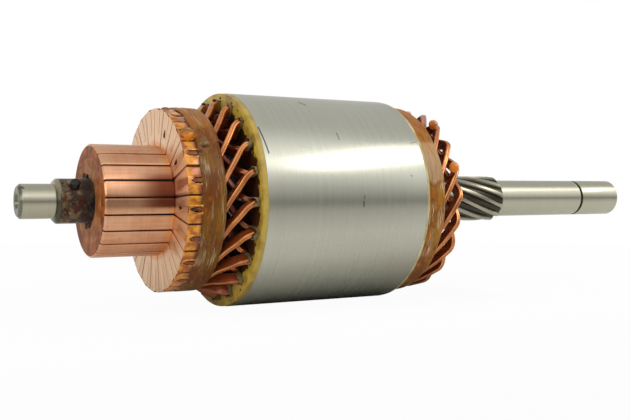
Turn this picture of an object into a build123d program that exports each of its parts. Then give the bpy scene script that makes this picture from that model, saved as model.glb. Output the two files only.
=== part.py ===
from build123d import *

import math
import os

# Wound rotor of a small direct-current motor, in millimetres.
# X runs along the shaft from the commutator end to the drive end and Z is up. The origin is on
# the axis, at the middle of the commutator-end journal. Angles are degrees about X, from +Y
# towards +Z, and a radius is measured from the X axis.

os.makedirs("parts", exist_ok=True)

# Shaft
journal_diameter = 12.0
journal_length = 12.1
end_chamfer = 1.0
centre_hole_diameter = 3.2
centre_hole_depth = 5.0
centre_cone_diameter = 5.2
centre_cone_depth = 1.7
commutator_seat_diameter = 15.6
bare_seat_length = 12.4
seat_chamfer = 0.9
core_seat_diameter = 18.6
shoulder_length = 27.0
spline_diameter = 19.6
spline_root_diameter = 16.4
spline_length = 38.2
spline_teeth = 12
spline_lead = 162.0
tooth_crest_width = 1.7
tooth_root_width = 3.1
tooth_sink = 0.4
drive_journal_diameter = 16.0
drive_journal_length = 73.2
groove_setback = 24.5
groove_width = 1.3
groove_depth = 0.8

# Peg that stands out of the commutator seat
peg_diameter = 3.4
peg_setback = 5.9
peg_projection = 2.5
peg_seat_depth = 4.0
peg_angle = 139.0
peg_chamfer = 0.4

# Commutator
brush_diameter = 39.9
brush_length = 24.0
riser_diameter = 66.6
riser_thickness = 5.0
bar_face_share = 0.31
bar_neck_share = 0.49
bar_neck_inset = 3.4
bar_foot_inset = 1.8
bar_front_chamfer = 0.6
mica_thickness = 0.6
mica_undercut = 0.7
hub_recess = 0.5
hub_lip_thickness = 1.5
hub_lip_diameter = 44.0
bush_wall = 2.4
hub_wall = 2.75

# Core and its insulation
core_diameter = 80.0
stack_length = 67.0
slot_count = 21
slot_bridge = 2.7
insulator_thickness = 2.0
drive_insulator_thickness = 1.0
insulator_inset = 0.15
liner_thickness = 0.25
liner_overhang = 0.5
separator_thickness = 0.3

# Winding: flat wire, two layers, one hairpin to a slot pitch
wire_width = 2.0
wire_height = 4.0
fit_gap = 0.05
winding_gap = 21.4
coil_span = 5
bar_step = 10
riser_lead = 2.25
nose_lead = 2.45
nose_reach = 20.45
nose_radius = 7.0
bend_radius = 3.4
core_bend_radius = 3.6
first_slot_angle = 9.0
riser_wire_depth = 0.5
riser_layer_gap = 0.2
layer_spread = 1.3
bend_clearance = 0.4

# Tape bands over the wires
commutator_band_width = 9.2
drive_band_width = 8.9
commutator_band_thickness = 0.6
drive_band_thickness = 1.05

# Places along the shaft
x_journal_end = -journal_length / 2
x_seat = journal_length / 2
x_commutator = x_seat + bare_seat_length
x_riser = x_commutator + brush_length
x_riser_back = x_riser + riser_thickness
x_hub_back = x_riser_back + hub_lip_thickness
x_core = x_riser_back + winding_gap
x_core_end = x_core + stack_length
x_spline = x_core_end + shoulder_length
x_spline_end = x_spline + spline_length
x_tip = x_spline_end + drive_journal_length
x_groove = x_tip - groove_setback
x_nose = x_core_end + nose_reach
insulation_overhang = insulator_thickness + liner_overhang
drive_overhang = drive_insulator_thickness + liner_overhang

# Radii
core_radius = core_diameter / 2
brush_radius = brush_diameter / 2
riser_radius = riser_diameter / 2
bush_radius = commutator_seat_diameter / 2 + bush_wall
bar_foot_radius = bush_radius + hub_wall
bar_neck_radius = bar_foot_radius + bar_neck_share * (brush_radius - bar_foot_radius)
bar_face_radius = bar_foot_radius + bar_face_share * (brush_radius - bar_foot_radius)
journal_radius = journal_diameter / 2
seat_radius = commutator_seat_diameter / 2
core_seat_radius = core_seat_diameter / 2
drive_radius = drive_journal_diameter / 2
spline_tip = spline_diameter / 2
spline_root = spline_root_diameter / 2
tooth_height = spline_tip - spline_root
tooth_flare = (tooth_root_width - tooth_crest_width) / 2
buried = spline_root - tooth_sink
slot_pitch = 360 / slot_count
slot_width = wire_width + 2 * (liner_thickness + 2 * fit_gap)
slot_height = 2 * wire_height + separator_thickness + 2 * liner_thickness + 6 * fit_gap
slot_radius = core_radius - slot_bridge - slot_height / 2
layer_step = (wire_height + separator_thickness) / 2 + fit_gap
core_layer = {"outer": slot_radius + layer_step, "inner": slot_radius - layer_step}
riser_outer = riser_radius - riser_wire_depth - wire_height / 2
riser_layer = {"outer": riser_outer, "inner": riser_outer - wire_height - riser_layer_gap}
riser_floor = riser_layer["inner"] - wire_height / 2 - fit_gap


def slot_angle(index):
    return first_slot_angle + index * slot_pitch


def riser_angle(index):
    return slot_angle(index + riser_lead)


def save(part, label):
    part.label = label
    export_step(part, f"parts/{label}.step")


# Shaft: one turned piece with a helical spline
with BuildPart() as spline_tooth:
    with BuildLine():
        Helix(spline_lead, spline_length, buried, center=(x_spline, 0, 0), direction=(1, 0, 0))
    with BuildSketch(Plane.YZ.offset(x_spline)):
        with BuildLine():
            Polyline(
                (buried, -tooth_crest_width / 2 - tooth_flare),
                (spline_root, -tooth_crest_width / 2 - tooth_flare),
                (spline_tip + tooth_sink, -tooth_crest_width / 2),
                (spline_tip + tooth_sink, tooth_crest_width / 2),
                (spline_root, tooth_crest_width / 2 + tooth_flare),
                (buried, tooth_crest_width / 2 + tooth_flare),
                close=True,
            )
        make_face()
    sweep(is_frenet=True)

with BuildPart() as spline:
    for tooth in range(spline_teeth):
        add(spline_tooth.part, rotation=(tooth * 360 / spline_teeth, 0, 0))
    with BuildSketch(Plane.XY):
        with BuildLine():
            Polyline(
                (x_spline, 0),
                (x_spline, spline_tip),
                (x_spline_end - tooth_height, spline_tip),
                (x_spline_end, spline_root),
                (x_spline_end, 0),
                close=True,
            )
        make_face()
    revolve(axis=Axis.X, mode=Mode.INTERSECT)

with BuildPart() as shaft:
    with BuildSketch(Plane.XY):
        with BuildLine():
            Polyline(
                (x_journal_end, 0),
                (x_journal_end, journal_radius - end_chamfer),
                (x_journal_end + end_chamfer, journal_radius),
                (x_seat, journal_radius),
                (x_seat, seat_radius - seat_chamfer),
                (x_seat + seat_chamfer, seat_radius),
                (x_hub_back, seat_radius),
                (x_hub_back, core_seat_radius),
                (x_core_end, core_seat_radius),
                (x_core_end, spline_tip),
                (x_spline, spline_tip),
                (x_spline + tooth_height, spline_root),
                (x_spline_end, spline_root),
                (x_spline_end, drive_radius),
                (x_groove - groove_width / 2, drive_radius),
                (x_groove - groove_width / 2, drive_radius - groove_depth),
                (x_groove + groove_width / 2, drive_radius - groove_depth),
                (x_groove + groove_width / 2, drive_radius),
                (x_tip - end_chamfer, drive_radius),
                (x_tip, drive_radius - end_chamfer),
                (x_tip, 0),
                close=True,
            )
        make_face()
    revolve(axis=Axis.X)
    add(spline.part)
    for face_x, inward in ((x_journal_end, 1), (x_tip, -1)):
        with BuildSketch(Plane.XY):
            with BuildLine():
                Polyline(
                    (face_x, 0),
                    (face_x, centre_cone_diameter / 2),
                    (face_x + inward * centre_cone_depth, centre_hole_diameter / 2),
                    (face_x + inward * centre_hole_depth, centre_hole_diameter / 2),
                    (face_x + inward * (centre_hole_depth + centre_hole_diameter / 3), 0),
                    close=True,
                )
            make_face()
        revolve(axis=Axis.X, mode=Mode.SUBTRACT)
    peg_plane = Plane.XY.rotated((peg_angle - 90, 0, 0)).offset(seat_radius - peg_seat_depth)
    with BuildSketch(peg_plane):
        with Locations((x_seat + peg_setback, 0)):
            Circle(peg_diameter / 2)
    extrude(amount=peg_seat_depth + seat_radius, mode=Mode.SUBTRACT)
save(shaft.part, "shaft")

with BuildPart() as seat_peg:
    with BuildSketch(peg_plane):
        with Locations((x_seat + peg_setback, 0)):
            Circle(peg_diameter / 2)
    extrude(amount=peg_seat_depth + peg_projection)
    chamfer(seat_peg.faces().sort_by(Axis((0, 0, 0), peg_plane.z_dir))[-1].edges(), peg_chamfer)
save(seat_peg.part, "seat_peg")


# Commutator: one outline serves the bars, the mica between them and the moulding below them
def bar_underside():
    return [
        (x_riser_back, bar_face_radius),
        (x_riser_back - bar_neck_inset, bar_neck_radius),
        (x_riser_back - bar_foot_inset, bar_foot_radius),
        (x_commutator + bar_foot_inset, bar_foot_radius),
        (x_commutator + bar_neck_inset, bar_neck_radius),
        (x_commutator, bar_face_radius),
    ]


def bar_outline(undercut):
    return [
        (x_commutator, brush_radius - max(undercut, bar_front_chamfer)),
        (x_commutator + bar_front_chamfer, brush_radius - undercut),
        (x_riser + undercut, brush_radius - undercut),
        (x_riser + undercut, riser_radius - undercut),
        (x_riser_back, riser_radius - undercut),
        *bar_underside(),
    ]


with BuildPart() as bar:
    with BuildSketch(Plane.XY.rotated((-slot_pitch / 2, 0, 0))):
        with BuildLine():
            Polyline(*bar_outline(0), close=True)
        make_face()
    revolve(axis=Axis.X, revolution_arc=slot_pitch)
    for side in (-1, 1):
        with BuildSketch(Plane.XY.rotated((side * slot_pitch / 2, 0, 0))):
            with Locations(((x_commutator + x_riser_back) / 2, riser_radius / 2)):
                Rectangle(x_riser_back - x_commutator, riser_diameter)
        extrude(amount=mica_thickness / 2, both=True, mode=Mode.SUBTRACT)
    with BuildSketch(Plane.YZ.offset(x_riser)):
        with Locations(((riser_floor + riser_radius + wire_height) / 2, 0)):
            Rectangle(riser_radius + wire_height - riser_floor, wire_width + 2 * fit_gap)
    extrude(amount=riser_thickness, mode=Mode.SUBTRACT)

for index in range(slot_count):
    with BuildPart() as placed_bar:
        add(bar.part, rotation=(riser_angle(index), 0, 0))
    save(placed_bar.part, f"commutator_bar_{index + 1:02d}")

with BuildPart() as mica_plate:
    with BuildSketch(Plane.XY.rotated((-slot_pitch / 4, 0, 0))):
        with BuildLine():
            Polyline(*bar_outline(mica_undercut), close=True)
        make_face()
    revolve(axis=Axis.X, revolution_arc=slot_pitch / 2)
    with BuildSketch(Plane.XY):
        with Locations(((x_commutator + x_riser_back) / 2, riser_radius / 2)):
            Rectangle(x_riser_back - x_commutator, riser_diameter)
    extrude(amount=mica_thickness / 2, both=True, mode=Mode.INTERSECT)

with BuildPart() as mica_separators:
    for index in range(slot_count):
        add(mica_plate.part, rotation=(riser_angle(index + 0.5), 0, 0))
save(mica_separators.part, "mica_separators")

with BuildPart() as commutator_hub:
    with BuildSketch(Plane.XY):
        with BuildLine():
            Polyline(
                (x_hub_back, bush_radius),
                (x_hub_back, hub_lip_diameter / 2),
                (x_riser_back, hub_lip_diameter / 2),
                *bar_underside(),
                (x_commutator + hub_recess, bar_face_radius),
                (x_commutator + hub_recess, bush_radius),
                close=True,
            )
        make_face()
    revolve(axis=Axis.X)
save(commutator_hub.part, "commutator_hub")

with BuildPart() as commutator_bush:
    with BuildSketch(Plane.YZ.offset(x_commutator)):
        Circle(bush_radius)
        Circle(commutator_seat_diameter / 2, mode=Mode.SUBTRACT)
    extrude(amount=x_hub_back - x_commutator)
save(commutator_bush.part, "commutator_bush")


# Core: the slots open only at its ends
def slotted_disc(radius, bore, x_start, thickness):
    with BuildPart() as disc:
        with BuildSketch(Plane.YZ.offset(x_start)):
            Circle(radius)
            Circle(bore, mode=Mode.SUBTRACT)
            with PolarLocations(slot_radius, slot_count, start_angle=first_slot_angle):
                Rectangle(slot_height, slot_width, mode=Mode.SUBTRACT)
        extrude(amount=thickness)
    return disc.part


insulator_radius = core_radius - insulator_inset
insulator_front = x_core - insulator_thickness
save(slotted_disc(core_radius, core_seat_radius, x_core, stack_length), "lamination_stack")
save(
    slotted_disc(insulator_radius, core_seat_radius, insulator_front, insulator_thickness),
    "commutator_end_insulator",
)
save(
    slotted_disc(insulator_radius, spline_tip, x_core_end, drive_insulator_thickness),
    "drive_end_insulator",
)

liner_start = x_core - insulation_overhang
liner_length = stack_length + insulation_overhang + drive_overhang
with BuildPart() as slot_liners:
    with BuildSketch(Plane.YZ.offset(liner_start)):
        with PolarLocations(slot_radius, slot_count, start_angle=first_slot_angle):
            Rectangle(slot_height - 2 * fit_gap, slot_width - 2 * fit_gap)
            Rectangle(
                slot_height - 2 * (fit_gap + liner_thickness),
                slot_width - 2 * (fit_gap + liner_thickness),
                mode=Mode.SUBTRACT,
            )
    extrude(amount=liner_length)
save(slot_liners.part, "slot_liners")

with BuildPart() as layer_separators:
    with BuildSketch(Plane.YZ.offset(liner_start)):
        with PolarLocations(slot_radius, slot_count, start_angle=first_slot_angle):
            Rectangle(separator_thickness, wire_width)
    extrude(amount=liner_length)
save(layer_separators.part, "layer_separators")


# Winding: each hairpin runs from a riser through the outer half of one slot, round its nose at
# the drive end, back through the inner half of the slot coil_span further on, and to a riser
# bar_step bars away. Its route is drawn flat, as length along X against length round the core
# at slot_radius, with an arc at each corner, and then wrapped round the axis.
def arc_length(turns):
    return math.radians(turns * slot_pitch) * slot_radius


def rounded(corners, radii, steps):
    """Points along a polyline whose corners are arcs, each cut into its number of steps."""
    points = [corners[0]]
    for before, corner, after, radius, count in zip(corners, corners[1:], corners[2:], radii, steps):
        inward = (Vector(*before) - Vector(*corner)).normalized()
        onward = (Vector(*after) - Vector(*corner)).normalized()
        half_turn = math.radians(180 - inward.get_angle(onward)) / 2
        centre = Vector(*corner) + (inward + onward).normalized() * (radius / math.cos(half_turn))
        start = Vector(*corner) + inward * (radius * math.tan(half_turn)) - centre
        side = math.copysign(1, inward.cross(onward).Z)
        for step in range(count + 1):
            swing = -side * math.degrees(2 * half_turn) * step / count
            spoke = start.rotate(Axis.Z, swing) + centre
            points.append((spoke.X, spoke.Y))
    return points + [corners[-1]]


def smooth(share):
    share = min(max(share, 0), 1)
    return share * share * (3 - 2 * share)


def bend_tangent(around, along, radii):
    """Tangent of half the turn of the bends at both ends of a slant.

    The slant covers this length round the core within this length along X, its bends included,
    and radii is the sum of the bends' radii.
    """
    return around / (along + math.sqrt(along**2 + around * (around - 2 * radii)))


steepest = arc_length(max(riser_lead, bar_step - coil_span - riser_lead))
climb = winding_gap - insulation_overhang - 2 * bend_clearance
climb_tangent = bend_tangent(steepest, climb, bend_radius + core_bend_radius)
drive_climb = nose_reach - drive_overhang - bend_clearance
drive_tangent = bend_tangent(arc_length(nose_lead), drive_climb, bend_radius)
x_first_bend = x_riser_back + bend_clearance + bend_radius * climb_tangent
x_climb_end = x_core - insulation_overhang - bend_clearance
x_core_bend = x_climb_end - core_bend_radius * climb_tangent
x_drive_bend = x_core_end + drive_overhang + bend_clearance + bend_radius * drive_tangent
x_cone = x_riser_back + commutator_band_width + wire_width / 2
x_climb = [(x_first_bend + x_cone) / 2, x_cone]
route_corners = [
    (x_riser, arc_length(riser_lead)),
    (x_first_bend, arc_length(riser_lead)),
    (x_core_bend, 0),
    (x_drive_bend, 0),
    (x_nose, -arc_length(nose_lead)),
    (x_drive_bend, -arc_length(coil_span)),
    (x_core_bend, -arc_length(coil_span)),
    (x_first_bend, -arc_length(bar_step - riser_lead)),
    (x_riser, -arc_length(bar_step - riser_lead)),
]
bend_steps = 2
core_bend_steps = 4
nose_steps = 6
run_step = 13.0
leg_radii = [bend_radius, core_bend_radius, bend_radius]
leg_steps = [bend_steps, core_bend_steps, bend_steps]
route_radii = leg_radii + [nose_radius] + leg_radii
route_steps = leg_steps + [nose_steps] + leg_steps


def wire_radius(x, share):
    """Radius of the wire's middle: share is 0 in the outer layer and 1 in the inner one.

    Where the wires climb from the risers to the slots, the inner layer hangs lower by up to
    layer_spread, because a climbing wire takes more room along a radius.
    """
    rise = smooth((x - x_cone) / (x_climb_end - x_cone))
    outer = riser_layer["outer"] + rise * (core_layer["outer"] - riser_layer["outer"])
    inner = riser_layer["inner"] + rise * (core_layer["inner"] - riser_layer["inner"])
    inner -= layer_spread * 4 * rise * (1 - rise)
    return outer + share * (inner - outer)


def shares_of_run(start, end):
    """Where a slant gets more sections, as shares of its length.

    Behind the risers both layers have theirs at the same places along the shaft, so that the
    straight pieces of one layer stay clear of the other's.
    """
    x_low, x_high = sorted((start[0], end[0]))
    if x_high < x_core:
        return sorted((x - start[0]) / (end[0] - start[0]) for x in x_climb if x_low < x < x_high)
    pieces = math.ceil(math.degrees(abs(end[1] - start[1]) / slot_radius) / run_step)
    return [piece / pieces for piece in range(1, pieces)]


def wire_stations():
    """Middle of the wire at each section: the route's own points, and more along its slants."""
    flat = rounded(route_corners, route_radii, route_steps)
    first_nose = 1 + sum(steps + 1 for steps in leg_steps)
    stations = []
    for number, (x, around) in enumerate(flat):
        layer_share = smooth((number - first_nose) / nose_steps)
        last_x, last_around = flat[max(number - 1, 0)]
        for part in shares_of_run((last_x, last_around), (x, around)):
            station = (last_x + part * (x - last_x), last_around + part * (around - last_around))
            stations.append((*station, layer_share))
        stations.append((x, around, layer_share))
    points = []
    for x, around, share in stations:
        angle = around / slot_radius
        radius = wire_radius(x, share)
        points.append(Vector(x, radius * math.cos(angle), radius * math.sin(angle)))
    return points


def wire_planes(points):
    planes = []
    for before, point, after in zip([points[0]] + points, points, points[1:] + [points[-1]]):
        forward = (after - before).normalized()
        outward = Vector(0, point.Y, point.Z).normalized()
        planes.append(Plane(origin=point, x_dir=outward.cross(forward), z_dir=forward))
    return planes


with BuildPart() as hairpin:
    for wire_plane in wire_planes(wire_stations()):
        with BuildSketch(wire_plane):
            Rectangle(wire_width, wire_height)
    loft(ruled=True)

for index in range(slot_count):
    with BuildPart() as placed_hairpin:
        add(hairpin.part, rotation=(slot_angle(index), 0, 0))
    save(placed_hairpin.part, f"hairpin_{index + 1:02d}")


# Bands
def tape_band(x_start, width, inner_radius, thickness):
    with BuildPart() as band:
        with BuildSketch(Plane.YZ.offset(x_start)):
            Circle(inner_radius + thickness)
            Circle(inner_radius, mode=Mode.SUBTRACT)
        extrude(amount=width)
    return band.part


def wire_top(layer_radius):
    return math.hypot(layer_radius + wire_height / 2, wire_width / 2) + fit_gap


save(
    tape_band(
        x_riser_back,
        commutator_band_width,
        wire_top(riser_layer["outer"]),
        commutator_band_thickness,
    ),
    "commutator_band",
)
save(
    tape_band(
        x_core_end + drive_overhang,
        drive_band_width,
        wire_top(core_layer["outer"]),
        drive_band_thickness,
    ),
    "drive_end_band",
)
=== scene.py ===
"""Looks of a motor armature: turned steel shaft, copper commutator, hairpin winding, ground core.

Lengths are metres. X runs along the shaft from the commutator end to the drive end, Z is up, and
an angle about X goes from +Y towards +Z.
"""

import logging
import math
from dataclasses import dataclass, field
from enum import Enum

import bpy
import numpy as np
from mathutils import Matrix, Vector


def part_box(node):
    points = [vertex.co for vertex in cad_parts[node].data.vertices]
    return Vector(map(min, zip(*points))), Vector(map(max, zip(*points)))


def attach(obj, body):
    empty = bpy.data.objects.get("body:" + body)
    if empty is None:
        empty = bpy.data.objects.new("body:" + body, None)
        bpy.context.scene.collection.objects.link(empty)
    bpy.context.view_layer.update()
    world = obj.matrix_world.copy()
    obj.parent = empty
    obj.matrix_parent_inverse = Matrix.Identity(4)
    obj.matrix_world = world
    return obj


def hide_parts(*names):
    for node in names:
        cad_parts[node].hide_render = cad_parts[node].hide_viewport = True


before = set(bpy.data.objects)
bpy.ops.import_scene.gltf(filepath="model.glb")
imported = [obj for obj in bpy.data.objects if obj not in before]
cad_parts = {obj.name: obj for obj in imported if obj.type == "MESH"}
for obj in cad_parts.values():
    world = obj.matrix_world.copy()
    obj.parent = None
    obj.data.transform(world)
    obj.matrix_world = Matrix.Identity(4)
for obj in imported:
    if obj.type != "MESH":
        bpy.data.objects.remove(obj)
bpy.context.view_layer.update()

MM = 0.001
TURN = 2.0 * math.pi

SLOTS = 21
FIRST_SLOT = math.radians(9.0)
# Slot pitches from a slot to the riser of its outer wire.
RISER_LEAD = 2.25

Socket = bpy.types.NodeSocket

log = logging.getLogger("armature")


class Axis(Enum):
    """Closed directions of a grid surface."""

    NEITHER = (False, False)
    COLUMNS = (False, True)
    BOTH = (True, True)


# Grid surfaces


def grid_mesh(
    name: str,
    points: np.ndarray,
    closed: Axis = Axis.COLUMNS,
    caps: bool = False,
    mark: np.ndarray | None = None,
) -> bpy.types.Object:
    """Makes a smooth mesh from a grid of points, or from several alike.

    Vertex (i, j) is joined to its neighbours (i + 1, j) and (i, j + 1), and the last row or column
    joins the first where that direction is closed. A cap is one flat face over an end row.

    Args:
        name: Name of the piece.
        points: Array of shape (rows, columns, 3) or (islands, rows, columns, 3), in metres.
        closed: The directions that close on themselves.
        caps: True to close the first and the last row with a face each.
        mark: Values from 0 to 1 of each point, which materials read as the attribute "mark".

    Returns:
        The new object, linked to the scene.
    """
    if points.ndim == 3:
        points = points[None]
    islands, rows, columns = points.shape[:3]
    wrap_rows, wrap_columns = closed.value
    i = np.arange(rows if wrap_rows else rows - 1)
    j = np.arange(columns if wrap_columns else columns - 1)
    near_row, near_column = np.meshgrid(i, j, indexing="ij")
    far_row, far_column = (near_row + 1) % rows, (near_column + 1) % columns
    quads = np.stack(
        [
            near_row * columns + near_column,
            far_row * columns + near_column,
            far_row * columns + far_column,
            near_row * columns + far_column,
        ],
        axis=-1,
    ).reshape(1, -1, 4)
    first_vertex = np.arange(islands)[:, None, None] * rows * columns
    quads = (quads + first_vertex).reshape(-1, 4)
    loops = quads.ravel()
    totals = np.full(len(quads), 4)
    if caps:
        first = np.arange(columns)
        last = (rows - 1) * columns + np.arange(columns)[::-1]
        ends = np.stack([first, last])[None] + first_vertex
        loops = np.concatenate([loops, ends.ravel()])
        totals = np.concatenate([totals, np.full(2 * islands, columns)])
    mesh = bpy.data.meshes.new(name)
    mesh.vertices.add(islands * rows * columns)
    mesh.vertices.foreach_set("co", points.reshape(-1).astype(np.float32))
    mesh.loops.add(len(loops))
    mesh.loops.foreach_set("vertex_index", loops.astype(np.int32))
    mesh.polygons.add(len(totals))
    starts = np.concatenate([[0], np.cumsum(totals)[:-1]])
    mesh.polygons.foreach_set("loop_start", starts.astype(np.int32))
    mesh.polygons.foreach_set("use_smooth", np.ones(len(totals), dtype=bool))
    mesh.update(calc_edges=True)
    if mark is not None:
        layer = mesh.attributes.new("mark", "FLOAT", "POINT")
        layer.data.foreach_set("value", np.broadcast_to(mark, points.shape[:3]).ravel().astype(np.float32))
    mesh.validate()
    mesh.set_sharp_from_angle(angle=math.radians(50))
    return link(name, mesh)


def link(name: str, mesh: bpy.types.Mesh) -> bpy.types.Object:
    """Puts a mesh into the scene as an object at the origin.

    Args:
        name: Name of the object.
        mesh: Its mesh.

    Returns:
        The new object.
    """
    piece = bpy.data.objects.new(name, mesh)
    bpy.context.scene.collection.objects.link(piece)
    return piece


def around(x: np.ndarray, radius: np.ndarray, angle: np.ndarray) -> np.ndarray:
    """Points at a place along the axis, a radius and an angle: (x, r cos a, r sin a)."""
    x, radius, angle = np.broadcast_arrays(x, radius, angle)
    return np.stack([x, radius * np.cos(angle), radius * np.sin(angle)], axis=-1)


def softened(profile: np.ndarray, edge: float, steps: int = 3) -> np.ndarray:
    """Rounds the corners of a polyline profile.

    Each corner P is replaced by points of the quadratic curve from P + a to P + b with control
    point P, where a and b lie on its two runs, edge away from P or a third of the run if less.

    Args:
        profile: Array of shape (n, 2) of (x, radius).
        edge: Distance from the corner at which the curve starts.
        steps: Number of pieces of each curve.

    Returns:
        Array of shape (m, 2).
    """
    corner = profile[1:-1, None, :]
    back = profile[:-2, None, :] - corner
    ahead = profile[2:, None, :] - corner
    back_length = np.linalg.norm(back, axis=-1, keepdims=True)
    ahead_length = np.linalg.norm(ahead, axis=-1, keepdims=True)
    back = back / back_length * np.minimum(edge, back_length / 3)
    ahead = ahead / ahead_length * np.minimum(edge, ahead_length / 3)
    t = np.linspace(0, 1, steps + 1)[None, :, None]
    curve = corner + back * (1 - t) ** 2 + ahead * t**2
    return np.concatenate([profile[:1], curve.reshape(-1, 2), profile[-1:]])


def waves(seed: int, counts: range, angle: np.ndarray, height: float, fall: float = 1.0) -> np.ndarray:
    """A smooth closed wobble: the sum of sines of each count, with random phases and sizes.

    Args:
        seed: Seed of the random phases.
        counts: Whole numbers of waves in a turn.
        angle: Angles at which it is read.
        height: Size of the wobble.
        fall: Power by which a count's share falls.

    Returns:
        Array of the shape of angle.
    """
    draw = np.random.default_rng(seed)
    total = np.zeros_like(angle)
    for count in counts:
        size = draw.normal() / count**fall
        total = total + size * np.sin(count * angle + draw.uniform(0, TURN))
    return height * total / sum(1 / count**fall for count in counts)


def smooth_step(share: np.ndarray) -> np.ndarray:
    """Eases from 0 to 1: 3 s squared less 2 s cubed, with s held between 0 and 1."""
    share = np.clip(share, 0, 1)
    return share * share * (3 - 2 * share)


def swept(
    name: str, path: np.ndarray, outward: np.ndarray, section: np.ndarray, mark: np.ndarray
) -> bpy.types.Object:
    """Carries a closed section along a path.

    At each point the section's second axis is the outward direction made square to the path, and
    its first axis is square to both.

    Args:
        name: Name of the piece.
        path: Array of shape (n, 3).
        outward: Array of shape (n, 3) of the directions that the wire's narrow edge faces.
        section: Array of shape (n, m, 2) or (m, 2) of the section's points.
        mark: Array of shape (m,) of the section's marks.

    Returns:
        The new object, capped at both ends.
    """
    forward = np.gradient(path, axis=0)
    forward /= np.linalg.norm(forward, axis=1, keepdims=True)
    across = np.cross(outward, forward)
    across /= np.linalg.norm(across, axis=1, keepdims=True)
    up = np.cross(forward, across)
    section = np.broadcast_to(section, (len(path), *section.shape[-2:]))
    points = path[:, None, :] + section[..., :1] * across[:, None, :] + section[..., 1:] * up[:, None, :]
    return grid_mesh(name, points, Axis.COLUMNS, caps=True, mark=mark[None, None, :])


def face_ovals(name: str, x: float, ovals: np.ndarray, height: float) -> bpy.types.Object:
    """Makes uneven ovals that lie on a plane square to the axis and rise towards the front.

    An oval's height falls off as the square root of 1 less the square of the share of the way to
    its rim, and its outline swells and shrinks by waves of three and of seven in a turn.

    Args:
        name: Name of the piece.
        x: Place of the plane.
        ovals: Rows of radius and angle in degrees of the middle, then radial and round half sizes,
            with lengths in millimetres.
        height: Rise of the middle over the plane.

    Returns:
        The new object.
    """
    ovals = np.asarray(ovals)[:, None, None, :]
    turn = np.linspace(0, TURN, 30, endpoint=False)[None, None, :]
    share = np.linspace(0, 1, 9)[None, :, None]
    swell = 1 + 0.2 * np.sin(3 * turn + ovals[..., 1]) + 0.1 * np.sin(7 * turn + ovals[..., 0])
    radius = (ovals[..., 0] + ovals[..., 2] * share * np.cos(turn) * swell) * MM
    side = ovals[..., 3] * share * np.sin(turn) * swell * MM
    rise = height * np.sqrt(1 - share**2) * (1 + 0.3 * np.sin(2 * turn + ovals[..., 1]) * share)
    return grid_mesh(name, around(x - rise, radius, np.radians(ovals[..., 1]) + side / radius))


def dress_copy(node: str, name: str, bevel: float) -> bpy.types.Object:
    """Copies a solid's mesh, merges its loose triangles and rounds its edges.

    Args:
        node: Name of the solid.
        name: Name of the new piece.
        bevel: Width of the rounded edges.

    Returns:
        The new object, which stands for the node.
    """
    piece = link(name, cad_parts[node].data.copy())
    piece.data.materials.clear()
    weld = piece.modifiers.new("weld", "WELD")
    weld.merge_threshold = 1e-6
    flat = piece.modifiers.new("flat", "DECIMATE")
    flat.decimate_type = "DISSOLVE"
    flat.angle_limit = math.radians(0.6)
    edges = piece.modifiers.new("edges", "BEVEL")
    edges.width = bevel
    edges.segments = 2
    edges.limit_method = "ANGLE"
    edges.angle_limit = math.radians(35)
    edges.harden_normals = False
    bake_modifiers(piece)
    piece.data.shade_smooth()
    piece.data.set_sharp_from_angle(angle=math.radians(42))
    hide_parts(node)
    return piece


def bake_modifiers(piece: bpy.types.Object) -> None:
    """Replaces a piece's mesh by what its modifiers make of it.

    Args:
        piece: The piece, which is left without modifiers.
    """
    graph = bpy.context.evaluated_depsgraph_get()
    made = bpy.data.meshes.new_from_object(piece.evaluated_get(graph))
    piece.modifiers.clear()
    piece.data = made


# Finishes


@dataclass(frozen=True)
class Colour:
    """A colour as it is seen, each part from 0 to 1 in the sRGB scale."""

    red: float
    green: float
    blue: float

    def linear(self) -> tuple[float, float, float, float]:
        """The colour in the linear scale that shaders use.

        Returns:
            Red, green, blue and an alpha of 1.
        """
        seen = (self.red, self.green, self.blue)
        parts = [c / 12.92 if c <= 0.04045 else ((c + 0.055) / 1.055) ** 2.4 for c in seen]
        return (*parts, 1.0)


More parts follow.
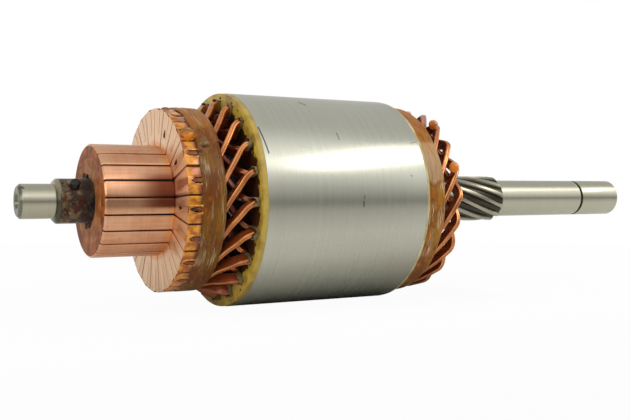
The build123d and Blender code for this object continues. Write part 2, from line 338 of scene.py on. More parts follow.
class Nodes:
    """Builds a node tree in a few words: each method adds one node and returns its output."""

    def __init__(self, name: str) -> None:
        """Starts a material with a Principled shader.

        Args:
            name: Name of the material.
        """
        self.material = bpy.data.materials.new(name)
        self.material.use_nodes = True
        self.tree = self.material.node_tree
        self.shader = self.tree.nodes["Principled BSDF"]
        self.place = self.tree.nodes.new("ShaderNodeTexCoord").outputs["Object"]

    def add(
        self,
        kind: str,
        inputs: dict[int | str, object] | None = None,
        output: int | str = 0,
        **settings: object,
    ) -> Socket:
        """Adds a node.

        Args:
            kind: Node type without the ShaderNode prefix.
            inputs: Values or sockets by input index or name.
            output: Output to return.
            settings: Node properties.

        Returns:
            The chosen output socket.
        """
        node = self.tree.nodes.new("ShaderNode" + kind)
        for key, value in settings.items():
            setattr(node, key, value)
        for key, value in (inputs or {}).items():
            self.feed(node.inputs[key], value)
        return node.outputs[output]

    def feed(self, socket: Socket, value: object) -> None:
        """Links a socket into an input, or sets a plain value on it.

        Args:
            socket: The input.
            value: A socket, a colour or a plain value.
        """
        if isinstance(value, Socket):
            self.tree.links.new(value, socket)
        elif isinstance(value, Colour):
            socket.default_value = value.linear()
        else:
            socket.default_value = value

    def set(self, **inputs: object) -> None:
        """Sets or links the shader's inputs, with spaces in their names written as underscores."""
        for key, value in inputs.items():
            self.feed(self.shader.inputs[key.replace("_", " ")], value)

    def scaled(
        self, scale: tuple[float, float, float], place: Socket | None = None, **mapping: object
    ) -> Socket:
        """The place multiplied along each axis, so that a pattern stretches."""
        return self.add("Mapping", {"Vector": place or self.place, "Scale": scale, **mapping})

    def noise(
        self, scale: float, place: Socket | None = None, detail: float = 3.0, rough: float = 0.55
    ) -> Socket:
        """Cloudy noise from 0 to 1, at this many waves a metre."""
        inputs = {"Vector": place or self.place, "Scale": scale, "Detail": detail, "Roughness": rough}
        return self.add("TexNoise", inputs)

    def math(
        self,
        operation: str,
        first: object,
        second: object = 0.0,
        third: object = 0.0,
        clamp: bool = False,
    ) -> Socket:
        """One sum of up to three numbers."""
        return self.add("Math", {0: first, 1: second, 2: third}, operation=operation, use_clamp=clamp)

    def between(self, value: object, low: float, high: float) -> Socket:
        """Where a value lies from low to high, eased and held between 0 and 1."""
        inputs = {"Value": value, "From Min": low, "From Max": high}
        return self.add("MapRange", inputs, interpolation_type="SMOOTHSTEP")

    def inverse(self, share: object) -> Socket:
        """1 less a share."""
        return self.math("SUBTRACT", 1.0, share)

    def under(self, value: object, low: float, high: float) -> Socket:
        """1 where a value lies under low and 0 where it lies over high, eased between them."""
        return self.inverse(self.between(value, low, high))

    def ramp(self, value: object, low: float, high: float, bottom: float, top: float) -> Socket:
        """A value's range mapped to another range in a straight line, held at its ends."""
        inputs = {"Value": value, "From Min": low, "From Max": high, "To Min": bottom, "To Max": top}
        return self.add("MapRange", inputs)

    def mix(self, share: object, first: object, second: object) -> Socket:
        """Two colours blended by a share.

        Args:
            share: 0 for the first colour, 1 for the second.
            first: Socket or colour.
            second: Socket or colour.

        Returns:
            The blend.
        """
        node = self.tree.nodes.new("ShaderNodeMix")
        node.data_type = "RGBA"
        node.clamp_factor = True
        self.feed(node.inputs[0], share)
        self.feed(node.inputs[6], first)
        self.feed(node.inputs[7], second)
        return node.outputs[2]

    def over(self, base: object, coat: object, share: object, amount: object) -> Socket:
        """A colour laid over a base one, by a share times an amount."""
        return self.mix(self.math("MULTIPLY", share, amount), base, coat)

    def parts(self) -> tuple[Socket, Socket, Socket]:
        """Separates the place.

        Returns:
            Its three coordinates.
        """
        node = self.tree.nodes.new("ShaderNodeSeparateXYZ")
        self.feed(node.inputs[0], self.place)
        return node.outputs[0], node.outputs[1], node.outputs[2]

    def radius(self) -> Socket:
        """Distance from the shaft's axis: the length of (0, y, z)."""
        flat = self.scaled((0.0, 1.0, 1.0))
        return self.add("VectorMath", {0: flat}, operation="LENGTH", output="Value")

    def turn(self) -> Socket:
        """Angle about the axis in radians, from +Y towards +Z."""
        _, y, z = self.parts()
        return self.math("ARCTAN2", z, y)

    def mark(self) -> Socket:
        """The mark that a piece's mesh carries, from 0 to 1."""
        return self.add("Attribute", {}, "Fac", attribute_name="mark")

    def ridge(self, value: object, low: float, high: float, soft: float) -> Socket:
        """1 where a value lies from low to high, and 0 outside, with soft sides."""
        fall = self.under(value, high, high + soft)
        return self.math("MULTIPLY", self.between(value, low - soft, low), fall)

    def stroke(
        self, start: tuple[float, float], end: tuple[float, float], width: float, radius: float
    ) -> Socket:
        """A scratch on a round surface: 1 near the segment from start to end, and 0 away from it.

        With P the place as (x, angle times radius), the distance is that from P to the nearest
        point of the segment, which lies a share t along it.

        Args:
            start: First end as (x, angle in degrees).
            end: Second end.
            width: Width of the scratch.
            radius: Radius of the surface.

        Returns:
            The share of the scratch.
        """
        a = np.array([start[0], math.radians(start[1]) * radius])
        b = np.array([end[0], math.radians(end[1]) * radius])
        run = b - a
        x, _, _ = self.parts()
        round_place = self.math("MULTIPLY", self.turn(), radius)
        off_x = self.math("SUBTRACT", x, float(a[0]))
        off_y = self.math("SUBTRACT", round_place, float(a[1]))
        along = self.math("MULTIPLY", off_x, float(run[0] / (run @ run)))
        t = self.math("MULTIPLY_ADD", off_y, float(run[1] / (run @ run)), along, clamp=True)
        gap_x = self.math("MULTIPLY_ADD", t, -float(run[0]), off_x)
        gap_y = self.math("MULTIPLY_ADD", t, -float(run[1]), off_y)
        square = self.math("MULTIPLY_ADD", gap_x, gap_x, self.math("MULTIPLY", gap_y, gap_y))
        return self.under(self.math("SQRT", square), width * 0.4, width)

    def bump(self, height: object, depth: float, strength: float = 1.0, under: object = None) -> Socket:
        """A surface relief.

        Args:
            height: Heights from 0 to 1.
            depth: What a height of 1 stands for, in metres.
            strength: Share of the relief that shows.
            under: Normal of another relief, on which this one lies.

        Returns:
            The normal.
        """
        inputs = {"Height": height, "Distance": depth, "Strength": strength}
        if under is not None:
            inputs["Normal"] = under
        return self.add("Bump", inputs)


@dataclass(frozen=True)
class GroundSteel:
    """Steel ground or turned round the shaft: fine rings, satin along X and sharp round it."""

    name: str
    colour: Colour
    dark: Colour
    roughness: float = 0.28
    rings: float = 3600.0
    ring_depth: float = 0.35e-6
    anisotropy: float = 0.8

    def build(self) -> Nodes:
        """Builds the material.

        Returns:
            The node builder, whose material is ready to use.
        """
        n = Nodes(self.name)
        rings = n.noise(1.0, n.scaled((self.rings, 14.0, 14.0)), 4.0, 0.7)
        wide = n.noise(1.0, n.scaled((620.0, 5.0, 5.0)), 3.0)
        cloud = n.noise(30.0, None, 3.0)
        shade = n.math("MULTIPLY_ADD", rings, 0.30, n.math("MULTIPLY", wide, 0.45))
        shade = n.between(n.math("MULTIPLY_ADD", cloud, 0.25, shade), 0.25, 0.75)
        n.set(
            Base_Color=n.mix(shade, self.dark, self.colour),
            Metallic=1.0,
            Roughness=n.ramp(wide, 0.3, 0.7, self.roughness - 0.02, self.roughness + 0.03),
            Anisotropic=self.anisotropy,
            Tangent=n.add("CombineXYZ", {0: 1.0, 1: 0.0, 2: 0.0}),
            Normal=n.bump(rings, self.ring_depth),
        )
        return n


@dataclass(frozen=True)
class CoreSteel(GroundSteel):
    """Ground core steel with the few dark scratches and nicks that its surface shows.

    A mark's two ends are (x, angle in degrees), then come its width and its share of the tone.
    """

    name: str = "core steel"
    colour: Colour = Colour(0.825, 0.82, 0.765)
    dark: Colour = Colour(0.79, 0.785, 0.725)
    scratched: Colour = Colour(0.12, 0.11, 0.09)
    core_radius: float = 40.0 * MM
    marks: tuple[tuple[tuple[float, float], tuple[float, float], float, float], ...] = (
        ((69.3 * MM, 140.0), (70.6 * MM, 155.6), 0.34 * MM, 0.9),
        ((93.3 * MM, 114.0), (94.9 * MM, 117.5), 0.46 * MM, 0.85),
        ((100.6 * MM, 142.1), (100.7 * MM, 146.5), 0.30 * MM, 0.6),
        ((107.5 * MM, 177.4), (107.4 * MM, 179.0), 0.30 * MM, 0.6),
        ((107.2 * MM, -179.4), (107.1 * MM, -177.2), 0.34 * MM, 0.85),
        ((128.8 * MM, 166.6), (129.1 * MM, 167.1), 0.34 * MM, 0.6),
        ((131.8 * MM, 147.6), (135.4 * MM, 146.2), 0.20 * MM, 0.5),
        ((84.0 * MM, 151.0), (88.0 * MM, 152.5), 0.10 * MM, 0.3),
    )

    def build(self) -> Nodes:
        """Builds the material.

        Returns:
            The node builder, whose material is ready to use.
        """
        n = super().build()
        colour = n.shader.inputs["Base Color"].links[0].from_socket
        for start, end, width, share in self.marks:
            scratch = n.stroke(start, end, width, self.core_radius)
            colour = n.over(colour, self.scratched, scratch, share)
        n.set(Base_Color=colour)
        return n


@dataclass(frozen=True)
class ShaftSteel(GroundSteel):
    """Turned shaft steel: bright journals, varnish and dirt at the seat, painted shade in the spline and
    retainer grooves and in the centre hole, and painted shade and a painted highlight on the seat's
    shoulder.
    """

    name: str = "shaft steel"
    colour: Colour = Colour(0.82, 0.805, 0.73)
    dark: Colour = Colour(0.76, 0.745, 0.66)
    roughness: float = 0.31
    crust: Colour = Colour(0.18, 0.11, 0.07)
    worn_crust: Colour = Colour(0.48, 0.41, 0.28)
    rust: Colour = Colour(0.33, 0.13, 0.07)
    bare: Colour = Colour(0.58, 0.53, 0.41)
    grime: Colour = Colour(0.11, 0.07, 0.05)
    resin: Colour = Colour(0.17, 0.09, 0.06)
    handled: Colour = Colour(0.52, 0.49, 0.38)
    dull_spline: Colour = Colour(0.50, 0.46, 0.34)
    smudge: Colour = Colour(0.30, 0.17, 0.09)
    # Painted shade on the seat's shoulder, and a painted highlight on its top.
    shoulder: Colour = Colour(0.20, 0.16, 0.10)
    shoulder_painted_highlight: Colour = Colour(0.66, 0.61, 0.48)
    end_face: Colour = Colour(0.33, 0.32, 0.24)
    # Colour of the painted shade in the centre hole.
    centre_hole: Colour = Colour(0.08, 0.08, 0.06)
    # Colour of the painted shade in the spline grooves.
    spline_groove_shade: Colour = Colour(0.20, 0.16, 0.10)
    # Colour of the painted shade in the retainer groove.
    groove: Colour = Colour(0.10, 0.09, 0.08)
    seat_end: float = 60.0 * MM

    def seat_dirt(self, n: Nodes, x: Socket, cloud: Socket) -> Socket:
        """Colour of the seat: dark crust worn in clouds, rust, bare patches, grime and resin.

        Args:
            n: The material's node builder.
            x: Place along the shaft.
            cloud: Noise that the seat's other values share.

        Returns:
            The colour.
        """
        fine = n.noise(900.0, None, 4.0, 0.7)
        spots = n.noise(330.0, n.scaled((1.0, 1.0, 1.0), Location=(0.3, 0.1, 0.7)), 4.0, 0.65)
        pale = n.noise(360.0, n.scaled((1.0, 1.0, 1.0), Location=(0.9, 0.5, 0.2)), 4.0, 0.65)
        ragged = n.math("MULTIPLY_ADD", cloud, 7.0 * MM, x)
        dirt = n.mix(n.between(cloud, 0.40, 0.58), self.crust, self.worn_crust)
        dirt = n.over(dirt, self.rust, n.between(spots, 0.48, 0.56), 0.85)
        dirt = n.over(dirt, self.bare, n.between(pale, 0.56, 0.63), 0.7)
        dirt = n.over(dirt, self.grime, n.between(fine, 0.56, 0.66), 0.6)
        return n.over(dirt, self.resin, n.ridge(ragged, 18.6 * MM, self.seat_end, 1.5 * MM), 0.85)

    def build(self) -> Nodes:
        """Builds the material.

        Returns:
            The node builder, whose material is ready to use.
        """
        n = super().build()
        x, _, z = n.parts()
        clean = n.shader.inputs["Base Color"].links[0].from_socket
        rough = n.shader.inputs["Roughness"].links[0].from_socket
        turned = n.shader.inputs["Normal"].links[0].from_socket
        cloud = n.noise(300.0, None, 5.0, 0.65)
        seat = n.ridge(n.math("MULTIPLY_ADD", cloud, 1.6 * MM, x), 8.4 * MM, self.seat_end, 0.8 * MM)
        spline = n.ridge(x, 152.0 * MM, 200.7 * MM, 0.5 * MM)
        # Painted shade in the spline's grooves.
        spline_groove_shade = n.math("MULTIPLY", n.under(n.radius(), 8.7 * MM, 9.72 * MM), spline)
        smudge = n.stroke((-5.6 * MM, 122.0), (-4.7 * MM, 130.0), 0.8 * MM, 6.0 * MM)
        smudge = n.math("MULTIPLY", n.math("MULTIPLY", smudge, cloud), 1.3)
        # The shoulder is painted dark below and painted light on its top, as the light falls.
        lit_top = n.between(n.math("MULTIPLY_ADD", cloud, 4.0 * MM, z), 4.0 * MM, 7.5 * MM)
        shoulder = n.mix(lit_top, self.shoulder, self.shoulder_painted_highlight)
        hole = n.math("MULTIPLY", n.under(n.radius(), 1.5 * MM, 2.3 * MM), n.under(x, -1.5 * MM, -1.0 * MM))
        clean = n.over(clean, self.handled, n.under(x, 6.0 * MM, 9.0 * MM), 0.18)
        clean = n.over(clean, self.dull_spline, spline, 0.3)
        colour = n.mix(smudge, clean, self.smudge)
        colour = n.mix(seat, colour, self.seat_dirt(n, x, cloud))
        colour = n.over(colour, shoulder, n.ridge(x, 6.0 * MM, 7.2 * MM, 0.4 * MM), 0.85)
        colour = n.over(colour, self.end_face, n.under(x, -5.3 * MM, -5.0 * MM), 0.7)
        # Painted shade in the centre hole.
        colour = n.over(colour, self.centre_hole, hole, 0.8)
        colour = n.over(colour, self.spline_groove_shade, spline_groove_shade, 0.93)
        # Painted shade in the retainer groove.
        colour = n.over(colour, self.groove, n.ridge(x, 249.15 * MM, 250.35 * MM, 0.15 * MM), 0.9)
        n.set(
            Base_Color=colour,
            Roughness=n.math("MULTIPLY_ADD", seat, 0.14, rough),
            Metallic=n.ramp(n.math("MAXIMUM", seat, spline_groove_shade), 0.0, 1.0, 1.0, 0.55),
            Coat_Weight=n.math("MULTIPLY", seat, 0.12),
            Coat_Roughness=0.15,
            Normal=n.bump(n.math("MULTIPLY", cloud, seat), 0.5 * MM, 0.5, under=turned),
        )
        return n


@dataclass(frozen=True)
class BarCopper:
    """Turned commutator copper with orange varnish left on the riser's rim.

    On the camera's side, the bars carry a painted dark reflection that deepens towards the riser. On the
    rim, the varnish is brown in the slits between bars, which lie half a pitch from the wires.
    """

    name: str = "bar copper"
    copper: Colour = Colour(0.95, 0.74, 0.59)
    tarnish: Colour = Colour(0.88, 0.63, 0.47)
    stain: Colour = Colour(0.68, 0.42, 0.26)
    cream: Colour = Colour(0.96, 0.82, 0.68)
    varnish: Colour = Colour(0.70, 0.36, 0.06)
    gold: Colour = Colour(0.96, 0.63, 0.14)
    slit_brown: Colour = Colour(0.36, 0.15, 0.05)
    # Colour of the painted dark reflection on the drum.
    drum_dark_reflection: Colour = Colour(0.50, 0.265, 0.18)
    pitch: float = TURN / SLOTS
    first_wire: float = FIRST_SLOT + RISER_LEAD * TURN / SLOTS
    drum_radius: float = 20.5 * MM
    rim_radius: float = 33.05 * MM
    back_x: float = 47.0 * MM

    def build(self) -> Nodes:
        """Builds the material.

        Returns:
            The node builder, whose material is ready to use.
        """
        n = Nodes(self.name)
        x, _, _ = n.parts()
        lathe = n.noise(1.0, n.scaled((4200.0, 40.0, 40.0)), 3.0, 0.6)
        along = n.noise(1.0, n.scaled((40.0, 900.0, 900.0)), 3.0, 0.6)
        cloud = n.noise(90.0, None, 4.0)
        blotch = n.between(n.noise(300.0, None, 4.0, 0.65), 0.60, 0.74)
        tone = n.math("MULTIPLY_ADD", lathe, 0.25, n.math("MULTIPLY", cloud, 0.5))
        tone = n.math("MULTIPLY_ADD", along, 0.35, tone)
        clean = n.mix(n.between(tone, 0.42, 0.66), self.tarnish, self.copper)
        clean = n.over(clean, self.stain, blotch, 0.4)
        beyond_drum = n.between(n.radius(), self.drum_radius, self.drum_radius + 2.0 * MM)
        riser_face = n.math("MULTIPLY", n.between(x, 42.2 * MM, 42.4 * MM), beyond_drum)
        clean = n.over(clean, self.cream, riser_face, 0.75)
        at_drum = n.ridge(n.radius(), 18.0 * MM, 21.0 * MM, 0.8 * MM)
        corner = n.math("MULTIPLY", n.ridge(x, 41.2 * MM, 42.7 * MM, 0.8 * MM), at_drum)
        clean = n.over(clean, self.gold, corner, 0.3)
        # Painted dark reflection on the drum's bars on the camera's side.
        clean = n.over(clean, self.drum_dark_reflection, self.dark_reflection_share(n), n.inverse(beyond_drum))
        rim = n.between(n.radius(), self.rim_radius, self.rim_radius + 0.1 * MM)
        back = n.between(x, self.back_x, self.back_x + 0.3 * MM)
        coated = n.math("MAXIMUM", rim, back)
        amber = n.mix(n.between(n.noise(240.0, None, 3.0), 0.40, 0.60), self.varnish, self.gold)
        from_wire = n.math("SUBTRACT", n.turn(), self.first_wire - 9.5 * self.pitch)
        cell = n.math("FRACT", n.math("DIVIDE", from_wire, self.pitch))
        from_middle = n.math("ABSOLUTE", n.math("SUBTRACT", cell, 0.5))
        ragged = n.math("MULTIPLY_ADD", n.noise(500.0, None, 3.0), 0.06, from_middle)
        amber = n.over(amber, self.slit_brown, n.between(ragged, 0.46, 0.53), 0.75)
        soaked = n.between(n.math("MULTIPLY_ADD", cloud, 2.0 * MM, x), 46.9 * MM, 48.2 * MM)
        amber = n.over(amber, self.slit_brown, soaked, 0.8)
        n.set(
            Base_Color=n.mix(coated, clean, amber),
            Metallic=n.ramp(coated, 0.0, 1.0, 1.0, 0.35),
            Roughness=n.math("MULTIPLY_ADD", coated, -0.14, n.ramp(cloud, 0.3, 0.7, 0.33, 0.40)),
            Anisotropic=0.6,
            Tangent=n.add("CombineXYZ", {0: 1.0, 1: 0.0, 2: 0.0}),
            Coat_Weight=n.math("MULTIPLY", coated, 0.6),
            Coat_Roughness=0.12,
            Normal=n.bump(lathe, 0.7e-6, under=n.bump(n.noise(260.0, None, 3.0), 0.02 * MM, 0.2)),
        )
        return n

    @staticmethod
    def dark_reflection_share(n: Nodes) -> Socket:
        """The share of the painted dark reflection on the bars of the camera's side.

        It deepens along X towards the riser, starts sharply just under the bars' middle and fades
        above it. A faint narrow band runs on to the front.

        Args:
            n: The material's node builder.

        Returns:
            The share, from 0 to 1.
        """
        x, y, z = n.parts()
        near = n.math("MULTIPLY", n.math("LESS_THAN", y, 0.0), n.between(z, -2.8 * MM, -1.6 * MM))
        deep = n.math("MULTIPLY", n.between(x, 22.0 * MM, 39.0 * MM), n.under(z, 7.0 * MM, 13.0 * MM))
        faint = n.math("MULTIPLY", n.under(z, 1.0 * MM, 3.6 * MM), 0.45)
        return n.math("MULTIPLY", n.math("MAXIMUM", deep, faint), near)


@dataclass(frozen=True)
class StakedVarnish:
    """Gold varnish over the rim at a staked wire, with painted shade in the gap round the wire's domed top.

    The mesh's mark is 0 on the rim, 1 in the gap and 0.45 on the wire's top.
    """

    name: str = "rim varnish"
    gold: Colour = Colour(0.96, 0.63, 0.14)
    orange: Colour = Colour(0.70, 0.36, 0.06)
    # Colour of the painted shade in the gap.
    gap: Colour = Colour(0.16, 0.05, 0.02)
    dome: Colour = Colour(0.50, 0.26, 0.13)

    def build(self) -> Nodes:
        """Builds the material.

        Returns:
            The node builder, whose material is ready to use.
        """
        n = Nodes(self.name)
        cloud = n.noise(300.0, None, 4.0)
        base = n.mix(n.between(cloud, 0.36, 0.62), self.orange, self.gold)
        mark = n.mark()
        dome = n.mix(n.between(cloud, 0.36, 0.52), self.gap, self.dome)
        base = n.mix(n.between(mark, 0.2, 0.5), base, dome)
        # Painted shade in the gap round the wire.
        base = n.mix(n.between(mark, 0.6, 0.95), base, self.gap)
        n.set(
            Base_Color=base,
            Metallic=0.25,
            Roughness=n.ramp(cloud, 0.3, 0.7, 0.16, 0.34),
            Coat_Weight=n.ramp(mark, 0.1, 0.5, 0.7, 0.1),
            Coat_Roughness=0.08,
            Normal=n.bump(cloud, 0.12 * MM, 0.35),
        )
        return n


@dataclass(frozen=True)
class WireCopper:
    """Flat winding wire: glossy copper with resin stains, painted shade that darkens it towards the shaft
    but less low down, where painted light falls, and browner towards the noses.

    The wires' ends in the risers are turned with the bars and look like them.
    """

    name: str = "winding copper"
    bright: Colour = Colour(0.93, 0.61, 0.36)
    brown: Colour = Colour(0.62, 0.30, 0.14)
    # Colour of the painted shade towards the shaft.
    deep: Colour = Colour(0.46, 0.18, 0.09)
    turned: Colour = Colour(0.90, 0.66, 0.50)
    dusk: Colour = Colour(0.50, 0.20, 0.09)
    dusk_x: float = 134.0 * MM
    shade_full_radius: float = 30.6 * MM
    shade_end_radius: float = 34.0 * MM
    turned_x: float = 44.0 * MM

    def build(self) -> Nodes:
        """Builds the material.

        Returns:
            The node builder, whose material is ready to use.
        """
        n = Nodes(self.name)
        x, _, z = n.parts()
        # Painted shade darkens the wire towards the shaft; low down it reaches less far in, where painted
        # light falls on the flanks.
        reach = n.math("MULTIPLY_ADD", n.noise(140.0, None, 3.0), 3.0 * MM, n.radius())
        reach = n.math("ADD", reach, n.ramp(z, -0.030, -0.012, 2.5 * MM, 0.0))
        height = n.between(reach, self.shade_full_radius + 1.5 * MM, self.shade_end_radius + 1.5 * MM)
        cloud = n.noise(190.0, None, 4.0)
        fine = n.noise(1100.0, None, 3.0)
        stain = n.between(n.math("MULTIPLY_ADD", fine, 0.3, cloud), 0.55, 0.85)
        brown = n.mix(n.between(x, self.dusk_x, self.dusk_x + 8.0 * MM), self.brown, self.dusk)
        body = n.mix(height, self.deep, brown)
        edge = n.math("MULTIPLY", height, n.between(n.mark(), 0.35, 0.8))
        body = n.mix(edge, body, self.bright)
        body = n.over(body, brown, stain, 0.5)
        front = n.under(x, self.turned_x, self.turned_x + 1.0 * MM)
        body = n.mix(front, body, self.turned)
        n.set(
            Base_Color=body,
            Metallic=n.ramp(edge, 0.0, 1.0, 0.35, 0.95),
            Roughness=n.ramp(cloud, 0.3, 0.7, 0.20, 0.34),
            Coat_Weight=0.3,
            Coat_Roughness=0.10,
            Normal=n.bump(fine, 0.012 * MM, 0.4, under=n.bump(cloud, 0.08 * MM, 0.3)),
        )
        return n


@dataclass(frozen=True)
class GlassTape:
    """Resin-soaked glass tape: brown and olive, with grey fibres and orange lap edges.

    A stretch round the band, between two angles in degrees, may have its own tone. Its ends wander
    by noise of this many radians.
    """

    name: str
    brown: Colour
    olive: Colour
    orange: Colour
    fibre: Colour
    fibre_share: float = 0.55
    lap_pitch: float = 4.1 * MM
    lap_lean: float = 1.3 * MM
    top_share: float = 0.8
    stretch: Colour = Colour(0.82, 0.68, 0.50)
    stretch_from: float = 0.0
    stretch_to: float = 0.0
    stretch_share: float = 0.0
    wander: float = 0.30

    def build(self) -> Nodes:
        """Builds the material.

        Returns:
            The node builder, whose material is ready to use.
        """
        n = Nodes(self.name)
        x, _, z = n.parts()
        warp = n.noise(120.0, None, 2.0)
        sway = n.add("CombineXYZ", {0: n.math("MULTIPLY", warp, 2.4 * MM), 1: 0.0, 2: 0.0})
        swayed = n.add("VectorMath", {0: n.place, 1: sway}, operation="ADD", output="Vector")
        threads = n.noise(1.0, n.scaled((1300.0, 90.0, 90.0), swayed), 4.0, 0.6)
        fine = n.noise(1.0, n.scaled((2600.0, 130.0, 130.0), swayed), 2.0, 0.5)
        cloud = n.noise(95.0, None, 4.0, 0.62)
        patch = n.noise(1.0, n.scaled((190.0, 70.0, 70.0)), 4.0, 0.6)
        skewed = n.math("MULTIPLY_ADD", n.turn(), self.lap_lean, x)
        skewed = n.math("MULTIPLY_ADD", warp, 1.8 * MM, skewed)
        lap = n.math("FRACT", n.math("DIVIDE", skewed, self.lap_pitch))
        lap_edge = n.ridge(lap, 0.46, 0.52, 0.07)
        base = n.mix(n.between(cloud, 0.42, 0.58), self.brown, self.olive)
        high = n.math("MULTIPLY", n.between(z, 0.014, 0.030), self.top_share)
        base = n.mix(high, base, self.orange)
        base = n.over(base, self.brown, n.between(threads, 0.42, 0.60), 0.55)
        scuff = n.between(n.noise(1.0, n.scaled((420.0, 260.0, 260.0), swayed), 4.0, 0.7), 0.58, 0.66)
        base = n.over(base, self.orange, scuff, 0.6)
        streak = n.math("MULTIPLY", n.between(fine, 0.50, 0.66), n.between(patch, 0.46, 0.62))
        base = n.over(base, self.fibre, streak, self.fibre_share)
        turn = n.math("MULTIPLY_ADD", patch, self.wander, n.turn())
        ends = (math.radians(angle) + self.wander / 2 for angle in (self.stretch_from, self.stretch_to))
        here = n.math("MULTIPLY", n.ridge(turn, *ends, 0.06), self.stretch_share)
        here = n.math("MULTIPLY", here, n.ramp(threads, 0.35, 0.65, 0.45, 1.0))
        base = n.mix(here, base, self.stretch)
        faint = n.math("MULTIPLY", n.between(cloud, 0.44, 0.62), 0.6)
        base = n.over(base, self.orange, lap_edge, faint)
        relief = n.math("MULTIPLY_ADD", lap_edge, 0.7, threads)
        n.set(
            Base_Color=base,
            Metallic=0.0,
            Roughness=n.ramp(threads, 0.3, 0.7, 0.28, 0.5),
            Specular_IOR_Level=0.22,
            Coat_Weight=n.math("MULTIPLY", n.between(patch, 0.52, 0.66), 0.4),
            Coat_Roughness=0.12,
            Normal=n.bump(relief, 0.22 * MM, 0.8, under=n.bump(patch, 0.9 * MM, 0.5)),
        )
        return n


@dataclass(frozen=True)
class Speckled:
    """A matt or glossy insulating stuff: two tones in clouds, with specks and a fine grain."""

    name: str
    light: Colour
    dark: Colour
    speck: Colour
    roughness: float = 0.6
    cloud_scale: float = 160.0
    speck_share: float = 0.4
    metal: float = 0.0
    coat: float = 0.0
    shine: float = 0.4
    grain: float = 0.06 * MM

    def build(self) -> Nodes:
        """Builds the material.

        Returns:
            The node builder, whose material is ready to use.
        """
        n = Nodes(self.name)
        cloud = n.noise(self.cloud_scale, None, 4.0)
        fine = n.noise(self.cloud_scale * 6, None, 3.0, 0.6)
        base = n.mix(n.between(cloud, 0.38, 0.64), self.dark, self.light)
        specks = n.between(n.noise(self.cloud_scale * 2.3, None, 5.0, 0.7), 0.58, 0.68)
        base = n.over(base, self.speck, specks, self.speck_share)
        n.set(
            Base_Color=base,
            Metallic=self.metal,
            Roughness=n.ramp(fine, 0.3, 0.7, self.roughness - 0.08, self.roughness + 0.08),
            Specular_IOR_Level=self.shine,
            Coat_Weight=self.coat,
            Coat_Roughness=0.15,
            Normal=n.bump(fine, self.grain, 0.5, under=n.bump(cloud, self.grain * 4, 0.35)),
        )
        return n


@dataclass(frozen=True)
class RingFibre:
    """Fibre disc: yellow and varnished at its rim, dark brown inside the wires, where the yellow reaches
    further in at the top and bottom.
    """

    name: str
    yellow: Colour = Colour(0.83, 0.70, 0.28)
    shade: Colour = Colour(0.62, 0.48, 0.16)
    # Colour inside the wires.
    resin: Colour = Colour(0.25, 0.12, 0.04)
    cream: Colour = Colour(0.72, 0.61, 0.33)
    edge_radius: float = 36.6 * MM
    rim_radius: float = 39.95 * MM

    def build(self) -> Nodes:
        """Builds the material.

        Returns:
            The node builder, whose material is ready to use.
        """
        n = Nodes(self.name)
        cloud = n.noise(150.0, None, 4.0)
        coarse = n.noise(190.0, None, 4.0, 0.65)
        spots = n.between(n.noise(520.0, None, 3.0), 0.62, 0.70)
        base = n.mix(n.between(cloud, 0.36, 0.62), self.shade, self.yellow)
        base = n.over(base, self.shade, spots, 0.35)
        _, _, z = n.parts()
        # Darker inside the wires, and less far in at the top and bottom.
        reach = n.math("MULTIPLY_ADD", coarse, 11.0 * MM, n.radius())
        reach = n.math("ADD", reach, n.ramp(n.math("ABSOLUTE", z), 0.018, 0.034, 0.0, 3.5 * MM))
        soaked = n.under(reach, self.edge_radius + 5.0 * MM, self.edge_radius + 6.2 * MM)
        wavy = n.math("MULTIPLY_ADD", cloud, 0.8 * MM, n.radius())
        rim = n.between(wavy, self.rim_radius, self.rim_radius + 0.5 * MM)
        base = n.over(base, self.cream, rim, 0.5)
        n.set(
            Base_Color=n.mix(soaked, base, self.resin),
            Metallic=0.0,
            Roughness=n.ramp(cloud, 0.3, 0.7, 0.36, 0.55),
            Specular_IOR_Level=0.3,
            Coat_Weight=0.2,
            Coat_Roughness=0.12,
            Normal=n.bump(coarse, 0.25 * MM, 0.5, under=n.bump(cloud, 0.3 * MM, 0.3)),
        )
        return n


@dataclass(frozen=True)
class AmberVarnish:
    """Clear set varnish in beads: amber, glossy, partly see-through.

    Above a given height, a bead turns to the tone of a painted reflection of the surroundings on its top.
    """

    name: str = "amber varnish"
    light: Colour = Colour(0.92, 0.52, 0.03)
    deep: Colour = Colour(0.50, 0.19, 0.02)
    clear: float = 0.1
    coat: float = 0.2
    # Colour of the painted reflection on a bead's top.
    cap: Colour = Colour(0.60, 0.42, 0.16)
    top_reflection_z: float = 1.0

    def build(self) -> Nodes:
        """Builds the material.

        Returns:
            The node builder, whose material is ready to use.
        """
        n = Nodes(self.name)
        cloud = n.noise(220.0, None, 3.0)
        _, _, z = n.parts()
        amber = n.mix(n.between(cloud, 0.38, 0.56), self.deep, self.light)
        # Above its height, the bead's top is a painted reflection.
        n.set(
            Base_Color=n.mix(n.between(z, self.top_reflection_z, self.top_reflection_z + 1.4 * MM), amber, self.cap),
            Metallic=0.0,
            Roughness=n.ramp(cloud, 0.3, 0.7, 0.05, 0.12),
            Specular_IOR_Level=0.3,
            Transmission_Weight=self.clear,
            Coat_Weight=self.coat,
            Coat_Roughness=0.03,
            Normal=n.bump(cloud, 0.1 * MM, 0.12),
        )
        return n


